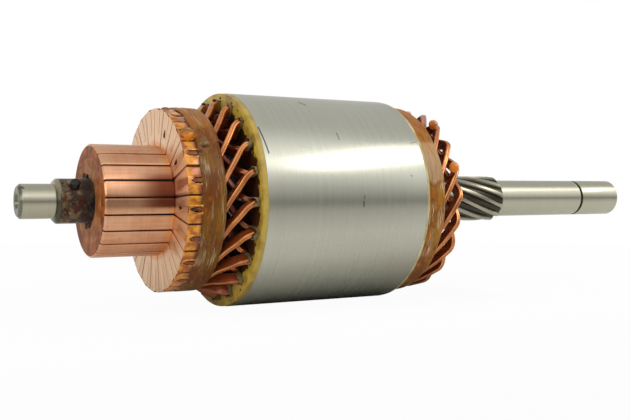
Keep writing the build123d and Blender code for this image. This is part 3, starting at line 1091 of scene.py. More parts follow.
class Finishes:
    """Every finish of the armature, each built once."""

    def __init__(self) -> None:
        """Builds the materials."""
        self.shaft = ShaftSteel().build().material
        self.core = CoreSteel().build().material
        self.bars = BarCopper().build().material
        self.rim = StakedVarnish().build().material
        self.wire = WireCopper().build().material
        self.riser_tape = GlassTape(
            "commutator end tape",
            Colour(0.45, 0.24, 0.05),
            Colour(0.52, 0.37, 0.10),
            Colour(0.68, 0.36, 0.08),
            Colour(0.76, 0.69, 0.54),
            fibre_share=0.75,
            top_share=0.5,
        ).build().material
        self.tape_end = GlassTape(
            "tape end",
            Colour(0.62, 0.37, 0.10),
            Colour(0.56, 0.42, 0.17),
            Colour(0.80, 0.44, 0.10),
            Colour(0.88, 0.78, 0.58),
            fibre_share=0.5,
            top_share=0.1,
            stretch=Colour(0.42, 0.20, 0.04),
            stretch_from=133.0,
            stretch_to=154.0,
            stretch_share=0.75,
        ).build().material
        # The pale stretch on the drive band's upper front is partly grey fibre and partly a painted sheen
        # where glints fall.
        self.drive_tape = GlassTape(
            "drive end tape",
            Colour(0.54, 0.31, 0.07),
            Colour(0.66, 0.47, 0.15),
            Colour(0.82, 0.39, 0.08),
            Colour(0.90, 0.80, 0.66),
            fibre_share=0.85,
            lap_pitch=6.5 * MM,
            lap_lean=-9.0 * MM,
            top_share=0.25,
            stretch_from=144.0,
            stretch_to=167.0,
            stretch_share=0.85,
        ).build().material
        self.face = Speckled(
            "face varnish",
            Colour(0.74, 0.49, 0.31),
            Colour(0.58, 0.34, 0.17),
            Colour(0.52, 0.44, 0.32),
            0.55,
            cloud_scale=230.0,
            shine=0.15,
        ).build().material
        self.ring = Speckled(
            "ring varnish",
            Colour(0.70, 0.38, 0.14),
            Colour(0.48, 0.23, 0.07),
            Colour(0.56, 0.40, 0.22),
            0.48,
            cloud_scale=260.0,
            shine=0.2,
        ).build().material
        self.moulding = Speckled(
            "moulding", Colour(0.60, 0.38, 0.27), Colour(0.36, 0.20, 0.14), Colour(0.70, 0.48, 0.34), 0.5
        ).build().material
        self.mica = Speckled(
            "mica", Colour(0.30, 0.16, 0.09), Colour(0.16, 0.08, 0.05), Colour(0.42, 0.30, 0.18), 0.7
        ).build().material
        self.bush = Speckled(
            "bush steel",
            Colour(0.42, 0.40, 0.37),
            Colour(0.24, 0.21, 0.18),
            Colour(0.34, 0.18, 0.11),
            0.45,
            metal=0.8,
        ).build().material
        self.fibre = RingFibre("yellow fibre").build().material
        self.cream = Speckled(
            "cream fibre",
            Colour(0.88, 0.83, 0.63),
            Colour(0.74, 0.66, 0.42),
            Colour(0.60, 0.50, 0.28),
            0.5,
            coat=0.2,
        ).build().material
        self.paper = Speckled(
            "slot paper",
            Colour(0.60, 0.55, 0.40),
            Colour(0.46, 0.38, 0.22),
            Colour(0.34, 0.22, 0.12),
            0.5,
            cloud_scale=240.0,
            coat=0.2,
        ).build().material
        self.soaked_paper = Speckled(
            "soaked paper",
            Colour(0.30, 0.17, 0.10),
            Colour(0.13, 0.07, 0.04),
            Colour(0.40, 0.30, 0.18),
            0.45,
            coat=0.3,
        ).build().material
        self.varnish = AmberVarnish(deep=Colour(0.74, 0.38, 0.05)).build().material
        # Above 22.9 mm the bead's top is a painted reflection.
        self.bead_varnish = AmberVarnish("bead varnish", top_reflection_z=22.9 * MM).build().material
        self.olive_varnish = AmberVarnish(
            "olive varnish", Colour(0.50, 0.35, 0.13), Colour(0.33, 0.18, 0.06), clear=0.0, coat=0.25
        ).build().material
        self.dark_varnish = Speckled(
            "dark varnish",
            Colour(0.27, 0.18, 0.12),
            Colour(0.10, 0.06, 0.04),
            Colour(0.50, 0.43, 0.34),
            0.36,
            cloud_scale=330.0,
            shine=0.25,
        ).build().material
        self.resin = Speckled(
            "dark resin",
            Colour(0.40, 0.20, 0.12),
            Colour(0.17, 0.08, 0.05),
            Colour(0.10, 0.05, 0.04),
            0.5,
            shine=0.15,
        ).build().material
        self.void = Speckled(
            "solder void",
            Colour(0.30, 0.12, 0.06),
            Colour(0.12, 0.04, 0.02),
            Colour(0.40, 0.20, 0.10),
            0.9,
            shine=0.05,
        ).build().material
        self.peg = Speckled(
            "peg black",
            Colour(0.07, 0.065, 0.06),
            Colour(0.03, 0.03, 0.03),
            Colour(0.16, 0.12, 0.09),
            0.45,
            coat=0.2,
        ).build().material


# Pieces


@dataclass
class Armature:
    """Sizes that several sub-assemblies share, in metres, and the finishes."""

    finishes: Finishes
    slots: int = SLOTS
    first_slot: float = FIRST_SLOT
    x_riser: float = 42.45 * MM
    x_riser_back: float = 47.45 * MM
    riser_radius: float = 33.3 * MM
    x_core: float = 68.85 * MM
    x_core_end: float = 135.85 * MM
    wire_width: float = 2.0 * MM
    wire_height: float = 4.0 * MM
    made: list[str] = field(default_factory=list)

    @property
    def pitch(self) -> float:
        """Angle from one slot to the next."""
        return TURN / self.slots

    def slot_angle(self, number: float) -> float:
        """Angle of a slot about the axis."""
        return self.first_slot + number * self.pitch

    def keep(
        self, piece: bpy.types.Object, material: bpy.types.Material, slot: str, *nodes: str
    ) -> bpy.types.Object:
        """Gives a piece its material and its body, and notes it.

        Args:
            piece: The finished piece.
            material: Its finish.
            slot: The record's material slot; not used.
            nodes: Solids that it stands for.

        Returns:
            The same piece.
        """
        piece.data.materials.clear()
        piece.data.materials.append(material)
        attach(piece, "root")
        if nodes:
            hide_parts(*nodes)
        self.made.append(piece.name)
        log.info("%s: %d faces", piece.name, len(piece.data.polygons))
        return piece


@dataclass
class Shaft:
    """The shaft with its helical spline, centre holes and retainer groove, and its black peg."""

    whole: Armature
    end_radius: float = 6.0 * MM
    seat_radius: float = 7.8 * MM
    core_seat_radius: float = 9.3 * MM
    spline_tip: float = 9.8 * MM
    spline_root: float = 8.2 * MM
    drive_radius: float = 8.0 * MM
    teeth: int = 12
    lead: float = 162 * MM
    crest_width: float = 1.4 * MM
    root_width: float = 3.1 * MM
    run_out: float = 1.6 * MM
    segments: int = 432
    x_start: float = -6.05 * MM
    x_seat: float = 6.05 * MM
    x_hub_back: float = 48.95 * MM
    x_spline: float = 162.85 * MM
    x_spline_end: float = 201.05 * MM
    x_groove: float = 249.75 * MM
    x_tip: float = 274.25 * MM

    def outline(self) -> np.ndarray:
        """The turned profile from the commutator-end centre hole to the drive-end one.

        Returns:
            Array of shape (n, 2) of (x, radius).
        """
        hole, cone, deep, cone_deep, bevel = 1.6 * MM, 2.6 * MM, 5 * MM, 1.7 * MM, 1.0 * MM
        half_groove, groove_deep, shoulder = 0.65 * MM, 0.8 * MM, 0.9 * MM
        start, tip = self.x_start, self.x_tip
        return np.array(
            [
                (start + deep, 0.0),
                (start + deep, hole),
                (start + cone_deep, hole),
                (start, cone),
                (start, self.end_radius - bevel),
                (start + bevel, self.end_radius),
                (self.x_seat, self.end_radius),
                (self.x_seat, self.seat_radius - shoulder),
                (self.x_seat + shoulder, self.seat_radius),
                (self.x_hub_back, self.seat_radius),
                (self.x_hub_back, self.core_seat_radius),
                (self.whole.x_core_end, self.core_seat_radius),
                (self.whole.x_core_end, self.spline_tip),
                (self.x_spline, self.spline_tip),
                (self.x_spline_end, self.spline_tip),
                (self.x_spline_end, self.drive_radius),
                (self.x_groove - half_groove, self.drive_radius),
                (self.x_groove - half_groove, self.drive_radius - groove_deep),
                (self.x_groove + half_groove, self.drive_radius - groove_deep),
                (self.x_groove + half_groove, self.drive_radius),
                (tip - bevel, self.drive_radius),
                (tip, self.drive_radius - bevel),
                (tip, cone),
                (tip - cone_deep, hole),
                (tip - deep, hole),
                (tip - deep, 0.0),
            ]
        )

    def tooth_drop(self, x: np.ndarray, turn: np.ndarray) -> np.ndarray:
        """Depth of the surface below the teeth's tips.

        The distance round the root circle from the nearest tooth's middle is compared with half
        the crest and half the root width: 0 on the crest, the full depth between the teeth, and a
        slope between them. The teeth run out towards both ends of the spline.

        Args:
            x: Places along the shaft, as a column.
            turn: Angles in the frame that turns with the helix, as a row.

        Returns:
            Grid of depths in metres.
        """
        tooth = TURN / self.teeth
        off = np.abs((turn + tooth / 2) % tooth - tooth / 2) * self.spline_tip
        half_crest, half_root = self.crest_width / 2, self.root_width / 2
        slope = np.clip((off - half_crest) / (half_root - half_crest), 0, 1)
        depth = self.spline_tip - self.spline_root
        run_in = np.clip((x - self.x_spline) / self.run_out, 0, 1)
        inside = (x >= self.x_spline) & (x <= self.x_spline_end)
        groove = slope * depth * run_in
        end_bevel = np.clip(x - (self.x_spline_end - self.run_out), 0, None)
        return np.where(inside, np.maximum(groove, end_bevel), 0.0)

    def build(self) -> None:
        """Builds the shaft's surface and the peg."""
        profile = softened(self.outline(), 0.12 * MM, 2)
        teeth_end = self.x_spline_end - 0.13 * MM
        stations = np.linspace(self.x_spline + 0.05 * MM, teeth_end, 90)
        early = np.cumsum(profile[:, 0] > self.x_spline - 1e-6) == 0
        late = np.cumsum(profile[::-1, 0] < teeth_end)[::-1] == 0
        teeth = np.stack([stations, np.full_like(stations, self.spline_tip)], axis=1)
        rows = np.concatenate([profile[early], teeth, profile[late]])
        turn = np.linspace(0, TURN, self.segments, endpoint=False)[None, :]
        x = rows[:, :1]
        helix = TURN * np.clip(x - self.x_spline, 0, self.x_spline_end - self.x_spline) / self.lead
        drop = self.tooth_drop(x, turn)
        on_end = (np.abs(x - self.x_spline_end) < 0.14 * MM) & (rows[:, 1:] > self.spline_root)
        radius = np.where(on_end, np.minimum(rows[:, 1:], self.spline_root), rows[:, 1:] - drop)
        shaft = grid_mesh("shaft_turned", around(x, radius, turn + helix))
        self.whole.keep(shaft, self.whole.finishes.shaft, "shaft_steel", "shaft")
        peg = dress_copy("seat_peg", "seat_peg_black", 0.12 * MM)
        self.whole.keep(peg, self.whole.finishes.peg, "peg_black")


@dataclass
class Commutator:
    """Copper bars, mica, moulding, bush, and the varnish on and around them."""

    whole: Armature
    x_front: float = 18.45 * MM
    shaft_radius: float = 7.8 * MM
    brush_radius: float = 19.95 * MM

    def build(self) -> None:
        """Builds all the commutator's pieces."""
        finishes = self.whole.finishes
        for number in range(self.whole.slots):
            bar = dress_copy(f"commutator_bar_{number + 1:02d}", f"bar_{number + 1:02d}", 0.14 * MM)
            self.whole.keep(bar, finishes.bars, "bar_copper")
        for node, name, material, slot in (
            ("mica_separators", "mica_plates", finishes.mica, "mica"),
            ("commutator_hub", "hub_moulding", finishes.moulding, "moulding"),
            ("commutator_bush", "bush_sleeve", finishes.bush, "bush_steel"),
        ):
            self.whole.keep(dress_copy(node, name, 0.08 * MM), material, slot)
        self.shaft_fillet()
        self.face_film("face_varnish", 8.0 * MM, 15.4 * MM, 0.10 * MM, finishes.face)
        spots = [
            (10.2, 61.0, 0.9, 1.2),
            (8.8, 80.0, 0.8, 1.8),
            (9.2, -74.0, 1.0, 1.6),
            (8.6, -100.0, 0.8, 1.8),
        ]
        stains = face_ovals("face_stains", self.x_front - 0.30 * MM, spots, 0.35 * MM)
        self.whole.keep(stains, finishes.resin, "moulding")
        self.face_film("ring_varnish", 14.9 * MM, self.brush_radius - 0.62 * MM, 0.16 * MM, finishes.ring)
        self.rim()
        self.bubble()
        self.solder_faces()
        self.voids()

    def shaft_fillet(self) -> None:
        """Varnish that has run round the shaft at the commutator's face.

        Its profile is a hollow cove. With s from 0 at the shaft to 1 at the face, it lies off the
        face by its reach times (1 - s) to the power 1.6, and off the shaft by its climb times s to
        the power 2.2 with a low bulge. Reach, climb and a lumpy wave vary with the angle.
        """
        turn = np.linspace(0, TURN, 220, endpoint=False)[None, :]
        share = np.linspace(0, 1, 18)[:, None]
        reach = 1.8 * MM + waves(3, range(2, 16), turn, 3.4 * MM, 0.7)
        climb = 0.8 * MM + waves(4, range(2, 16), turn, 2.6 * MM, 0.7)
        reach, climb = np.maximum(reach, 0.5 * MM), np.maximum(climb, 0.3 * MM)
        lump = waves(9, range(4, 26), turn + 7 * share, 0.5 * MM, 0.4) * np.sin(math.pi * share)
        x = self.x_front + 0.20 * MM - reach * (1 - share) ** 1.6
        inner = self.shaft_radius - 0.05 * MM
        radius = inner + climb * share**2.2 + 0.16 * MM * np.sin(math.pi * share) + lump
        radius = np.maximum(radius, inner)
        fillet = grid_mesh("shaft_varnish_fillet", around(x, radius, turn))
        self.whole.keep(fillet, self.whole.finishes.dark_varnish, "moulding")

    def face_film(
        self, name: str, low: float, high: float, height: float, material: bpy.types.Material
    ) -> None:
        """A film of varnish over part of the commutator's front face.

        It is a ring whose height over the face swells in its middle and wrinkles with the angle
        and the radius, and whose edges wander.

        Args:
            name: Name of the piece.
            low: Inner radius.
            high: Outer radius.
            height: Thickness in the middle.
            material: Its finish.
        """
        turn = np.linspace(0, TURN, 240, endpoint=False)[None, :]
        share = np.linspace(0, 1, 22)[:, None]
        low_edge = low + waves(11, range(3, 20), turn, 0.8 * MM, 0.6) * (low > 10 * MM)
        radius = low_edge + (high - low_edge) * share
        swell = np.clip(1 - np.abs(2 * share - 1) ** 6, 0, 1)
        wrinkle = waves(12, range(4, 26), turn + 9 * share, 0.10 * MM, 0.4)
        x = self.x_front + 0.03 * MM - (height + wrinkle) * swell
        film = grid_mesh(name, around(x[::-1], radius[::-1], turn))
        self.whole.keep(film, material, "moulding")

    def rim(self) -> None:
        """Varnish over the riser's rim where each wire is staked.

        Each patch covers a notch. Across it, v goes from -1 to 1, and along X, u goes from 0 to 1.
        The gap round the wire is a lens with ragged sides, which starts a little behind the front
        and would close past the back: its half width is sin(pi p) to the power 0.85, with p the
        share of the way along it. Inside, the wire's top rises again as a dome. The mark is 0
        outside the lens, 1 in the gap and 0.45 on the dome.
        """
        whole = self.whole
        angle = whole.slot_angle(np.arange(whole.slots) + RISER_LEAD)[:, None, None]
        draw = np.random.default_rng(5)
        u = np.linspace(0, 1, 48)[None, :, None]
        v = np.linspace(-1, 1, 45)[None, None, :]
        skew = draw.uniform(-0.14, 0.14, (whole.slots, 1, 1))
        fat = draw.uniform(0.62, 0.88, (whole.slots, 1, 1))
        reach = draw.uniform(0.04, 0.22, (whole.slots, 1, 1))
        bend = draw.uniform(-0.25, 0.25, (whole.slots, 1, 1))
        place = np.clip((u - reach) / (1.25 - reach), 0, 1)
        ragged = 1 + waves(7, range(3, 9), TURN * u + 5 * skew, 0.35, 0.5)
        lens = fat * np.sin(math.pi * place) ** 0.85 * ragged
        middle = skew + bend * (u - 0.5)
        off = np.abs(v - middle) / np.maximum(lens, 1e-3)
        inside = smooth_step((1.05 - off) / 0.16)
        dome_off = np.abs(v - middle - 0.16 * fat) / np.maximum(lens, 1e-3)
        dome = smooth_step((0.80 - dome_off) / 0.45)
        rise = 0.66 * MM * dome * np.sin(math.pi * place)
        radius = whole.riser_radius + 0.06 * MM - 0.60 * MM * inside + rise
        radius = radius - 0.25 * MM * np.abs(v) ** 12
        x = whole.x_riser + 0.05 * MM + (whole.x_riser_back - whole.x_riser + 0.2 * MM) * u
        half = 1.75 * MM / whole.riser_radius
        mark = inside - 0.55 * dome
        patches = grid_mesh("rim_varnish", around(x, radius, angle + half * v), Axis.NEITHER, mark=mark)
        whole.keep(patches, whole.finishes.rim, "tape_brown")

    def bubble(self) -> None:
        """The large amber bead on the rim, a small one near its top, and two olive ones behind.

        A bead is a dome over an oval: its height is the square root of 1 less the square of the
        distance from its middle in half sizes, and two waves round it make it uneven. A row holds
        the place along X, the angle in degrees, the half sizes along X and round it, and the
        height, with lengths in millimetres.
        """
        whole = self.whole
        amber = [(45.7, 137.0, 3.1, 2.7, 2.1), (44.4, 101.0, 1.7, 1.0, 0.9)]
        olive = [(50.6, 143.0, 2.2, 3.0, 1.75), (48.6, 149.6, 1.1, 0.9, 0.9)]
        groups = (
            ("amber_beads", whole.finishes.bead_varnish, amber),
            ("olive_beads", whole.finishes.olive_varnish, olive),
        )
        turn = np.linspace(0, TURN, 36, endpoint=False)[None, None, :]
        share = np.linspace(0, 1, 14)[None, :, None]
        for name, material, rows in groups:
            beads = np.array(rows)[:, None, None, :]
            uneven = 1 + 0.10 * np.sin(3 * turn + beads[..., 0]) + 0.06 * np.sin(5 * turn + beads[..., 1])
            x = (beads[..., 0] + beads[..., 2] * share * np.cos(turn) * uneven) * MM
            side = beads[..., 3] * share * np.sin(turn) * uneven * MM
            rise = beads[..., 4] * np.sqrt(1 - share**2) * MM + 0 * turn
            radius = whole.riser_radius - 0.15 * MM + rise
            angle = np.radians(beads[..., 1]) + side / whole.riser_radius
            drops = grid_mesh(name, around(x, radius, angle)[:, ::-1])
            whole.keep(drops, material, "tape_brown")

    def voids(self) -> None:
        """Painted shade for small voids in the solder of three wire slots, seen on the riser's front face.
        """
        spots = [(25.7, 114.7, 1.5, 0.75), (25.5, 148.8, 1.3, 0.75), (26.0, 184.9, 1.1, 0.55)]
        dishes = face_ovals("solder_voids", self.whole.x_riser - 0.08 * MM, spots, 0.03 * MM)
        self.whole.keep(dishes, self.whole.finishes.void, "moulding")

    def solder_faces(self) -> None:
        """The solder round the wires' ends, turned flush with the riser's front face."""
        whole = self.whole
        angle = whole.slot_angle(np.arange(whole.slots) + RISER_LEAD)[:, None, None]
        share = np.linspace(0, 1, 6)[None, :, None]
        side = np.linspace(-1.12, 1.12, 4)[None, None, :] * MM
        radius = (24.2 + 8.7 * share) * MM
        x = whole.x_riser - 0.04 * MM + 0 * side
        points = around(x, radius, angle + side / radius)[:, :, ::-1]
        faces = grid_mesh("solder_faces", points, Axis.NEITHER)
        whole.keep(faces, whole.finishes.bars, "bar_copper")


@dataclass
class Winding:
    """Twenty-one hairpins of flat wire in two layers.

    A hairpin's route is drawn flat, as length along X against length round the core at the slots'
    radius, with an arc at each corner, and then wrapped round the axis. Its radius eases from the
    riser's to the slot's in each layer, and from the outer layer to the inner one at the nose.
    """

    whole: Armature
    slot_radius: float = 32.75 * MM
    layer_step: float = 2.2 * MM
    riser_outer: float = 30.8 * MM
    riser_inner: float = 26.6 * MM
    riser_lead: float = RISER_LEAD
    nose_lead: float = 2.45
    span: int = 5
    bar_step: int = 10
    band_width: float = 9.2 * MM
    core_overhang: float = 2.5 * MM
    drive_overhang: float = 1.5 * MM
    bend_clearance: float = 0.4 * MM
    nose_reach: float = 20.45 * MM
    bend_radius: float = 3.4 * MM
    core_bend_radius: float = 3.6 * MM
    ease_in: float = 0.6 * MM
    ease_more: float = 2.4 * MM
    nose_radius: float = 7.0 * MM
    spread: float = 1.3 * MM
    edge_radius: float = 0.62 * MM
    groove: float = 0.14 * MM
    nose_corner: int = 4
    nose_points: int = 25
    bend_points: int = 9

    def __post_init__(self) -> None:
        """Works out where the bends lie.

        With a the length round the core, b the clear length along X and r the sum of the bends'
        radii, the tangent of half the bends' turn is a / (b + root(b b + a (a - 2 r))). The bend
        before the core is then eased: drawn a little wider, with its end inside the disc's slot.
        """
        arc = self.whole.pitch * self.slot_radius
        steepest = arc * (self.bar_step - self.span - self.riser_lead)
        gap = self.whole.x_core - self.whole.x_riser_back
        climb = gap - self.core_overhang - 2 * self.bend_clearance
        tangent = self.tangent(steepest, climb, self.bend_radius + self.core_bend_radius)
        reach = self.nose_reach - self.drive_overhang - self.bend_clearance
        drive_tangent = self.tangent(self.nose_lead * arc, reach, self.bend_radius)
        self.x_cone = self.whole.x_riser_back + self.band_width + self.whole.wire_width / 2
        self.x_first_bend = self.whole.x_riser_back + self.bend_clearance + self.bend_radius * tangent
        self.x_climb_end = self.whole.x_core - self.core_overhang - self.bend_clearance
        self.x_core_bend = self.x_climb_end - self.core_bend_radius * tangent + self.ease_in
        start = self.whole.x_core_end + self.drive_overhang + self.bend_clearance
        self.x_drive_bend = start + self.bend_radius * drive_tangent
        self.x_nose = self.whole.x_core_end + self.nose_reach

    @staticmethod
    def tangent(around_core: float, along: float, radii: float) -> float:
        """Tangent of half the turn of a slant's bends, as __post_init__ gives it."""
        return around_core / (along + math.sqrt(along**2 + around_core * (around_core - 2 * radii)))

    def route(self, nose_shift: float) -> tuple[np.ndarray, np.ndarray]:
        """The flat route with an arc at each corner.

        An arc of radius R in a corner that turns by 2 h touches the runs R tan h from it.

        Args:
            nose_shift: How much further out than usual the nose lies.

        Returns:
            Array of shape (n, 2) of (x, length round), and the share of the change of layer.
        """
        arc = self.whole.pitch * self.slot_radius
        corners = np.array(
            [
                (self.whole.x_riser, self.riser_lead * arc),
                (self.x_first_bend, self.riser_lead * arc),
                (self.x_core_bend, 0.0),
                (self.x_drive_bend, 0.0),
                (self.x_nose + nose_shift, -self.nose_lead * arc),
                (self.x_drive_bend, -self.span * arc),
                (self.x_core_bend, -self.span * arc),
                (self.x_first_bend, -(self.bar_step - self.riser_lead) * arc),
                (self.whole.x_riser, -(self.bar_step - self.riser_lead) * arc),
            ]
        )
        wide = self.core_bend_radius + self.ease_more
        leg = [self.bend_radius, wide, self.bend_radius]
        radii = [*leg, self.nose_radius, *leg]
        points, shares = [corners[:1]], [np.zeros(1)]
        for number, radius in enumerate(radii, start=1):
            corner = corners[number]
            back = corners[number - 1] - corner
            ahead = corners[number + 1] - corner
            back, ahead = back / np.linalg.norm(back), ahead / np.linalg.norm(ahead)
            half = (math.pi - math.acos(float(np.clip(back @ ahead, -1, 1)))) / 2
            middle = (back + ahead) / np.linalg.norm(back + ahead)
            centre = corner + middle * radius / math.cos(half)
            side = math.copysign(1.0, back[0] * ahead[1] - back[1] * ahead[0])
            start = corner + back * radius * math.tan(half) - centre
            nose = number == self.nose_corner
            count = self.nose_points if nose else self.bend_points
            swing = -side * 2 * half * np.linspace(0, 1, count)
            bent = np.stack(
                [
                    start[0] * np.cos(swing) - start[1] * np.sin(swing),
                    start[0] * np.sin(swing) + start[1] * np.cos(swing),
                ],
                axis=1,
            )
            arc_points = centre + bent
            run = self.run_between(points[-1][-1], arc_points[0])
            level = 0.0 if number <= self.nose_corner else 1.0
            change = np.linspace(0, 1, count) if nose else np.full(count, level)
            points += [run, arc_points]
            shares += [np.full(len(run), level), change]
        run = self.run_between(points[-1][-1], corners[-1])
        points += [run, corners[-1:]]
        shares += [np.ones(len(run)), np.ones(1)]
        return np.concatenate(points), smooth_step(np.concatenate(shares))

    @staticmethod
    def run_between(start: np.ndarray, end: np.ndarray) -> np.ndarray:
        """Points strictly between two ends: one for each 1.6 mm, but at least 1 and at most 14.

        Args:
            start: First end, as (x, length round).
            end: Second end.

        Returns:
            Array of shape (n, 2).
        """
        length = float(np.linalg.norm(end - start))
        count = int(min(max(length / (1.6 * MM), 1), 14))
        share = np.linspace(0, 1, count + 2)[1:-1, None]
        return start + share * (end - start)

    def radius(self, x: np.ndarray, share: np.ndarray) -> np.ndarray:
        """Radius of the wire's middle.

        Args:
            x: Places along the shaft.
            share: Share of the change from the outer layer to the inner one at each place.

        Returns:
            Array of radii.
        """
        rise = smooth_step((x - self.x_cone) / (self.x_climb_end - self.x_cone))
        outer = self.riser_outer + rise * (self.slot_radius + self.layer_step - self.riser_outer)
        inner = self.riser_inner + rise * (self.slot_radius - self.layer_step - self.riser_inner)
        inner = inner - self.spread * 4 * rise * (1 - rise)
        return outer + share * (inner - outer)

    def section(self, share: np.ndarray) -> tuple[np.ndarray, np.ndarray]:
        """The wire's section at each station: a rectangle with rounded corners and hollow edges.

        Quarter circles make the corners. The narrow edges sink in their middle by the groove's
        depth, so that they catch two lines of light. The mark is 1 on the narrow edges.

        Args:
            share: Array of shape (n,): 0 where the wire is square in its riser, 1 where it is free.

        Returns:
            Array of shape (n, m, 2) of the points, and array of shape (m,) of the marks.
        """
        half_width, half_height = self.whole.wire_width / 2, self.whole.wire_height / 2
        r = (0.08 * MM + (self.edge_radius - 0.08 * MM) * share)[:, None]
        quarter = np.linspace(0, math.pi / 2, 6)[None, :]
        outline, marks = [], []
        for sign_x, sign_y, start in ((1, 1, 0), (-1, 1, 1), (-1, -1, 2), (1, -1, 3)):
            bend = quarter + start * math.pi / 2
            across = sign_x * (half_width - r) + r * np.cos(bend)
            up = sign_y * (half_height - r) + r * np.sin(bend)
            outline.append(np.stack([across, up], axis=-1))
            marks.append(np.abs(np.sin(bend[0])) ** 0.7)
            if start in (0, 2):
                middle = np.zeros((len(share), 1, 2))
                middle[:, 0, 1] = sign_y * (half_height - self.groove * share)
                outline.append(middle)
                marks.append(np.full(1, 0.42))
        return np.concatenate(outline, axis=1), np.concatenate(marks)

    def build(self) -> None:
        """Builds each hairpin where its solid is, and the varnish drops on three noses."""
        draw = np.random.default_rng(21)
        for number in range(self.whole.slots):
            flat, share = self.route(draw.uniform(-0.6, 0.3) * MM)
            radius = self.radius(flat[:, 0], share)
            angle = flat[:, 1] / self.slot_radius + self.whole.slot_angle(number)
            path = around(flat[:, 0], radius, angle)
            outward = around(np.zeros_like(angle), np.ones_like(angle), angle)
            free = smooth_step((flat[:, 0] - self.whole.x_riser_back) / (2.0 * MM))
            section, marks = self.section(free)
            wire = swept(f"wire_{number + 1:02d}", path, outward, section, marks)
            self.whole.keep(wire, self.whole.finishes.wire, "winding_copper", f"hairpin_{number + 1:02d}")
        self.nose_drops()

    def nose_drops(self) -> None:
        """Balls of varnish on three noses' tips.

        A ball is a sphere, flattened a little along its radius and made uneven by a wave of two in
        a turn. A row holds the place along X, the radius, the angle in degrees and the size, with
        lengths in millimetres.
        """
        balls = np.array([(150.6, 38.0, 128.3, 2.0), (151.2, 38.2, 160.9, 2.1), (150.9, 36.8, 20.0, 1.6)])
        balls = balls[:, None, None, :]
        around_ball = np.linspace(0, TURN, 28, endpoint=False)[None, None, :]
        down = np.linspace(0.02, math.pi - 0.02, 16)[None, :, None]
        size = balls[..., 3] * (1 + 0.07 * np.sin(2 * around_ball + balls[..., 2]) * np.sin(down))
        x = (balls[..., 0] + size * np.cos(down)) * MM
        radius = (balls[..., 1] + 0.85 * size * np.sin(down) * np.cos(around_ball)) * MM
        side = size * np.sin(down) * np.sin(around_ball) / balls[..., 1]
        drops = grid_mesh("nose_varnish", around(x, radius, np.radians(balls[..., 2]) + side)[:, ::-1])
        self.whole.keep(drops, self.whole.finishes.varnish, "tape_brown")


@dataclass
class Bands:
    """The two tape bands over the wires, and the lap of tape that ends the first one."""

    whole: Armature
    lap_start: float = math.radians(48.0)
    lap_end: float = math.radians(152.0)
    lap_skew: float = math.radians(10.0)
    lap_left: float = 47.75 * MM
    lap_right: float = 56.5 * MM
    lap_radius: float = 33.86 * MM

    def band(self, name: str, node: str, seed: int, wobble: float, edge_wobble: float) -> bpy.types.Object:
        """A wound band: its section is a flat loop with rounded edges, wrinkled as it goes round.

        The radius has wide waves, and each edge wanders along X by its own waves.

        Args:
            name: Name of the piece.
            node: Solid that it stands for.
            seed: Seed of its waves.
            wobble: Size of the radial waves.
            edge_wobble: Size of the edges' waves.

        Returns:
            The new object.
        """
        low, high = (np.array(corner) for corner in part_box(node))
        outer = high[1] - wobble
        thickness = 0.9 * MM
        x0, x1 = low[0] + 0.05 * MM, high[0] - edge_wobble
        turn = np.linspace(0, TURN, 300, endpoint=False)[None, :]
        share = np.linspace(0, 1, 26)[:, None]
        top_x = x0 + (x1 - x0) * share
        lift = 1 - np.abs(2 * share - 1) ** 9
        bulge = waves(seed, range(3, 30), turn, wobble, 0.6)
        ridge = waves(seed + 1, range(2, 12), turn + 30 * share, wobble * 0.4, 0.5)
        wander = waves(seed + 2, range(2, 16), turn, edge_wobble, 0.7) * (2 * share - 1)
        top = around(top_x + wander, outer - (1 - lift) * 0.35 * MM + (bulge + ridge) * lift, turn)
        under_x = top_x[::-1]
        under = around(under_x + wander[::-1], np.full_like(under_x, outer - thickness), turn)
        return grid_mesh(name, np.concatenate([top, under]), Axis.BOTH)

    def tape_end(self) -> None:
        """The tape's outer end, which laps over the band at the top and is cut askew.

        Along X it goes from its ragged left edge to the band's rear edge, and round the axis from
        the start to the cut end, whose angle falls with X. Its edges dip towards the band.
        """
        share = np.linspace(0, 1, 40)[:, None]
        along = np.linspace(0, 1, 90)[None, :]
        rough_angle = self.lap_start + math.radians(101.0) * along
        left = self.lap_left + waves(61, range(4, 24), 2.5 * rough_angle, 0.6 * MM, 0.5)
        x = left + (self.lap_right - left) * share
        cut = self.lap_end - self.lap_skew * smooth_step((x[:, -1:] - 50 * MM) / (6 * MM))
        angle = self.lap_start + (cut - self.lap_start) * along
        edge = np.minimum(np.minimum(share, 1 - share) * 18, np.minimum((1 - along) * 30, 1))
        ripple = waves(62, range(5, 30), angle + 4 * share, 0.3 * MM, 0.4) * np.clip(edge, 0, 1)
        radius = self.lap_radius + ripple - 0.42 * MM * (1 - np.clip(edge, 0, 1)) ** 2
        lap = grid_mesh("tape_end", around(x, radius, angle), Axis.NEITHER)
        self.whole.keep(lap, self.whole.finishes.tape_end, "tape_brown")

    def build(self) -> None:
        """Builds both bands."""
        finishes = self.whole.finishes
        front = self.band("riser_band", "commutator_band", 40, 0.12 * MM, 0.35 * MM)
        self.whole.keep(front, finishes.riser_tape, "tape_brown", "commutator_band")
        self.tape_end()
        back = self.band("drive_band", "drive_end_band", 50, 0.15 * MM, 0.5 * MM)
        self.whole.keep(back, finishes.drive_tape, "tape_brown", "drive_end_band")


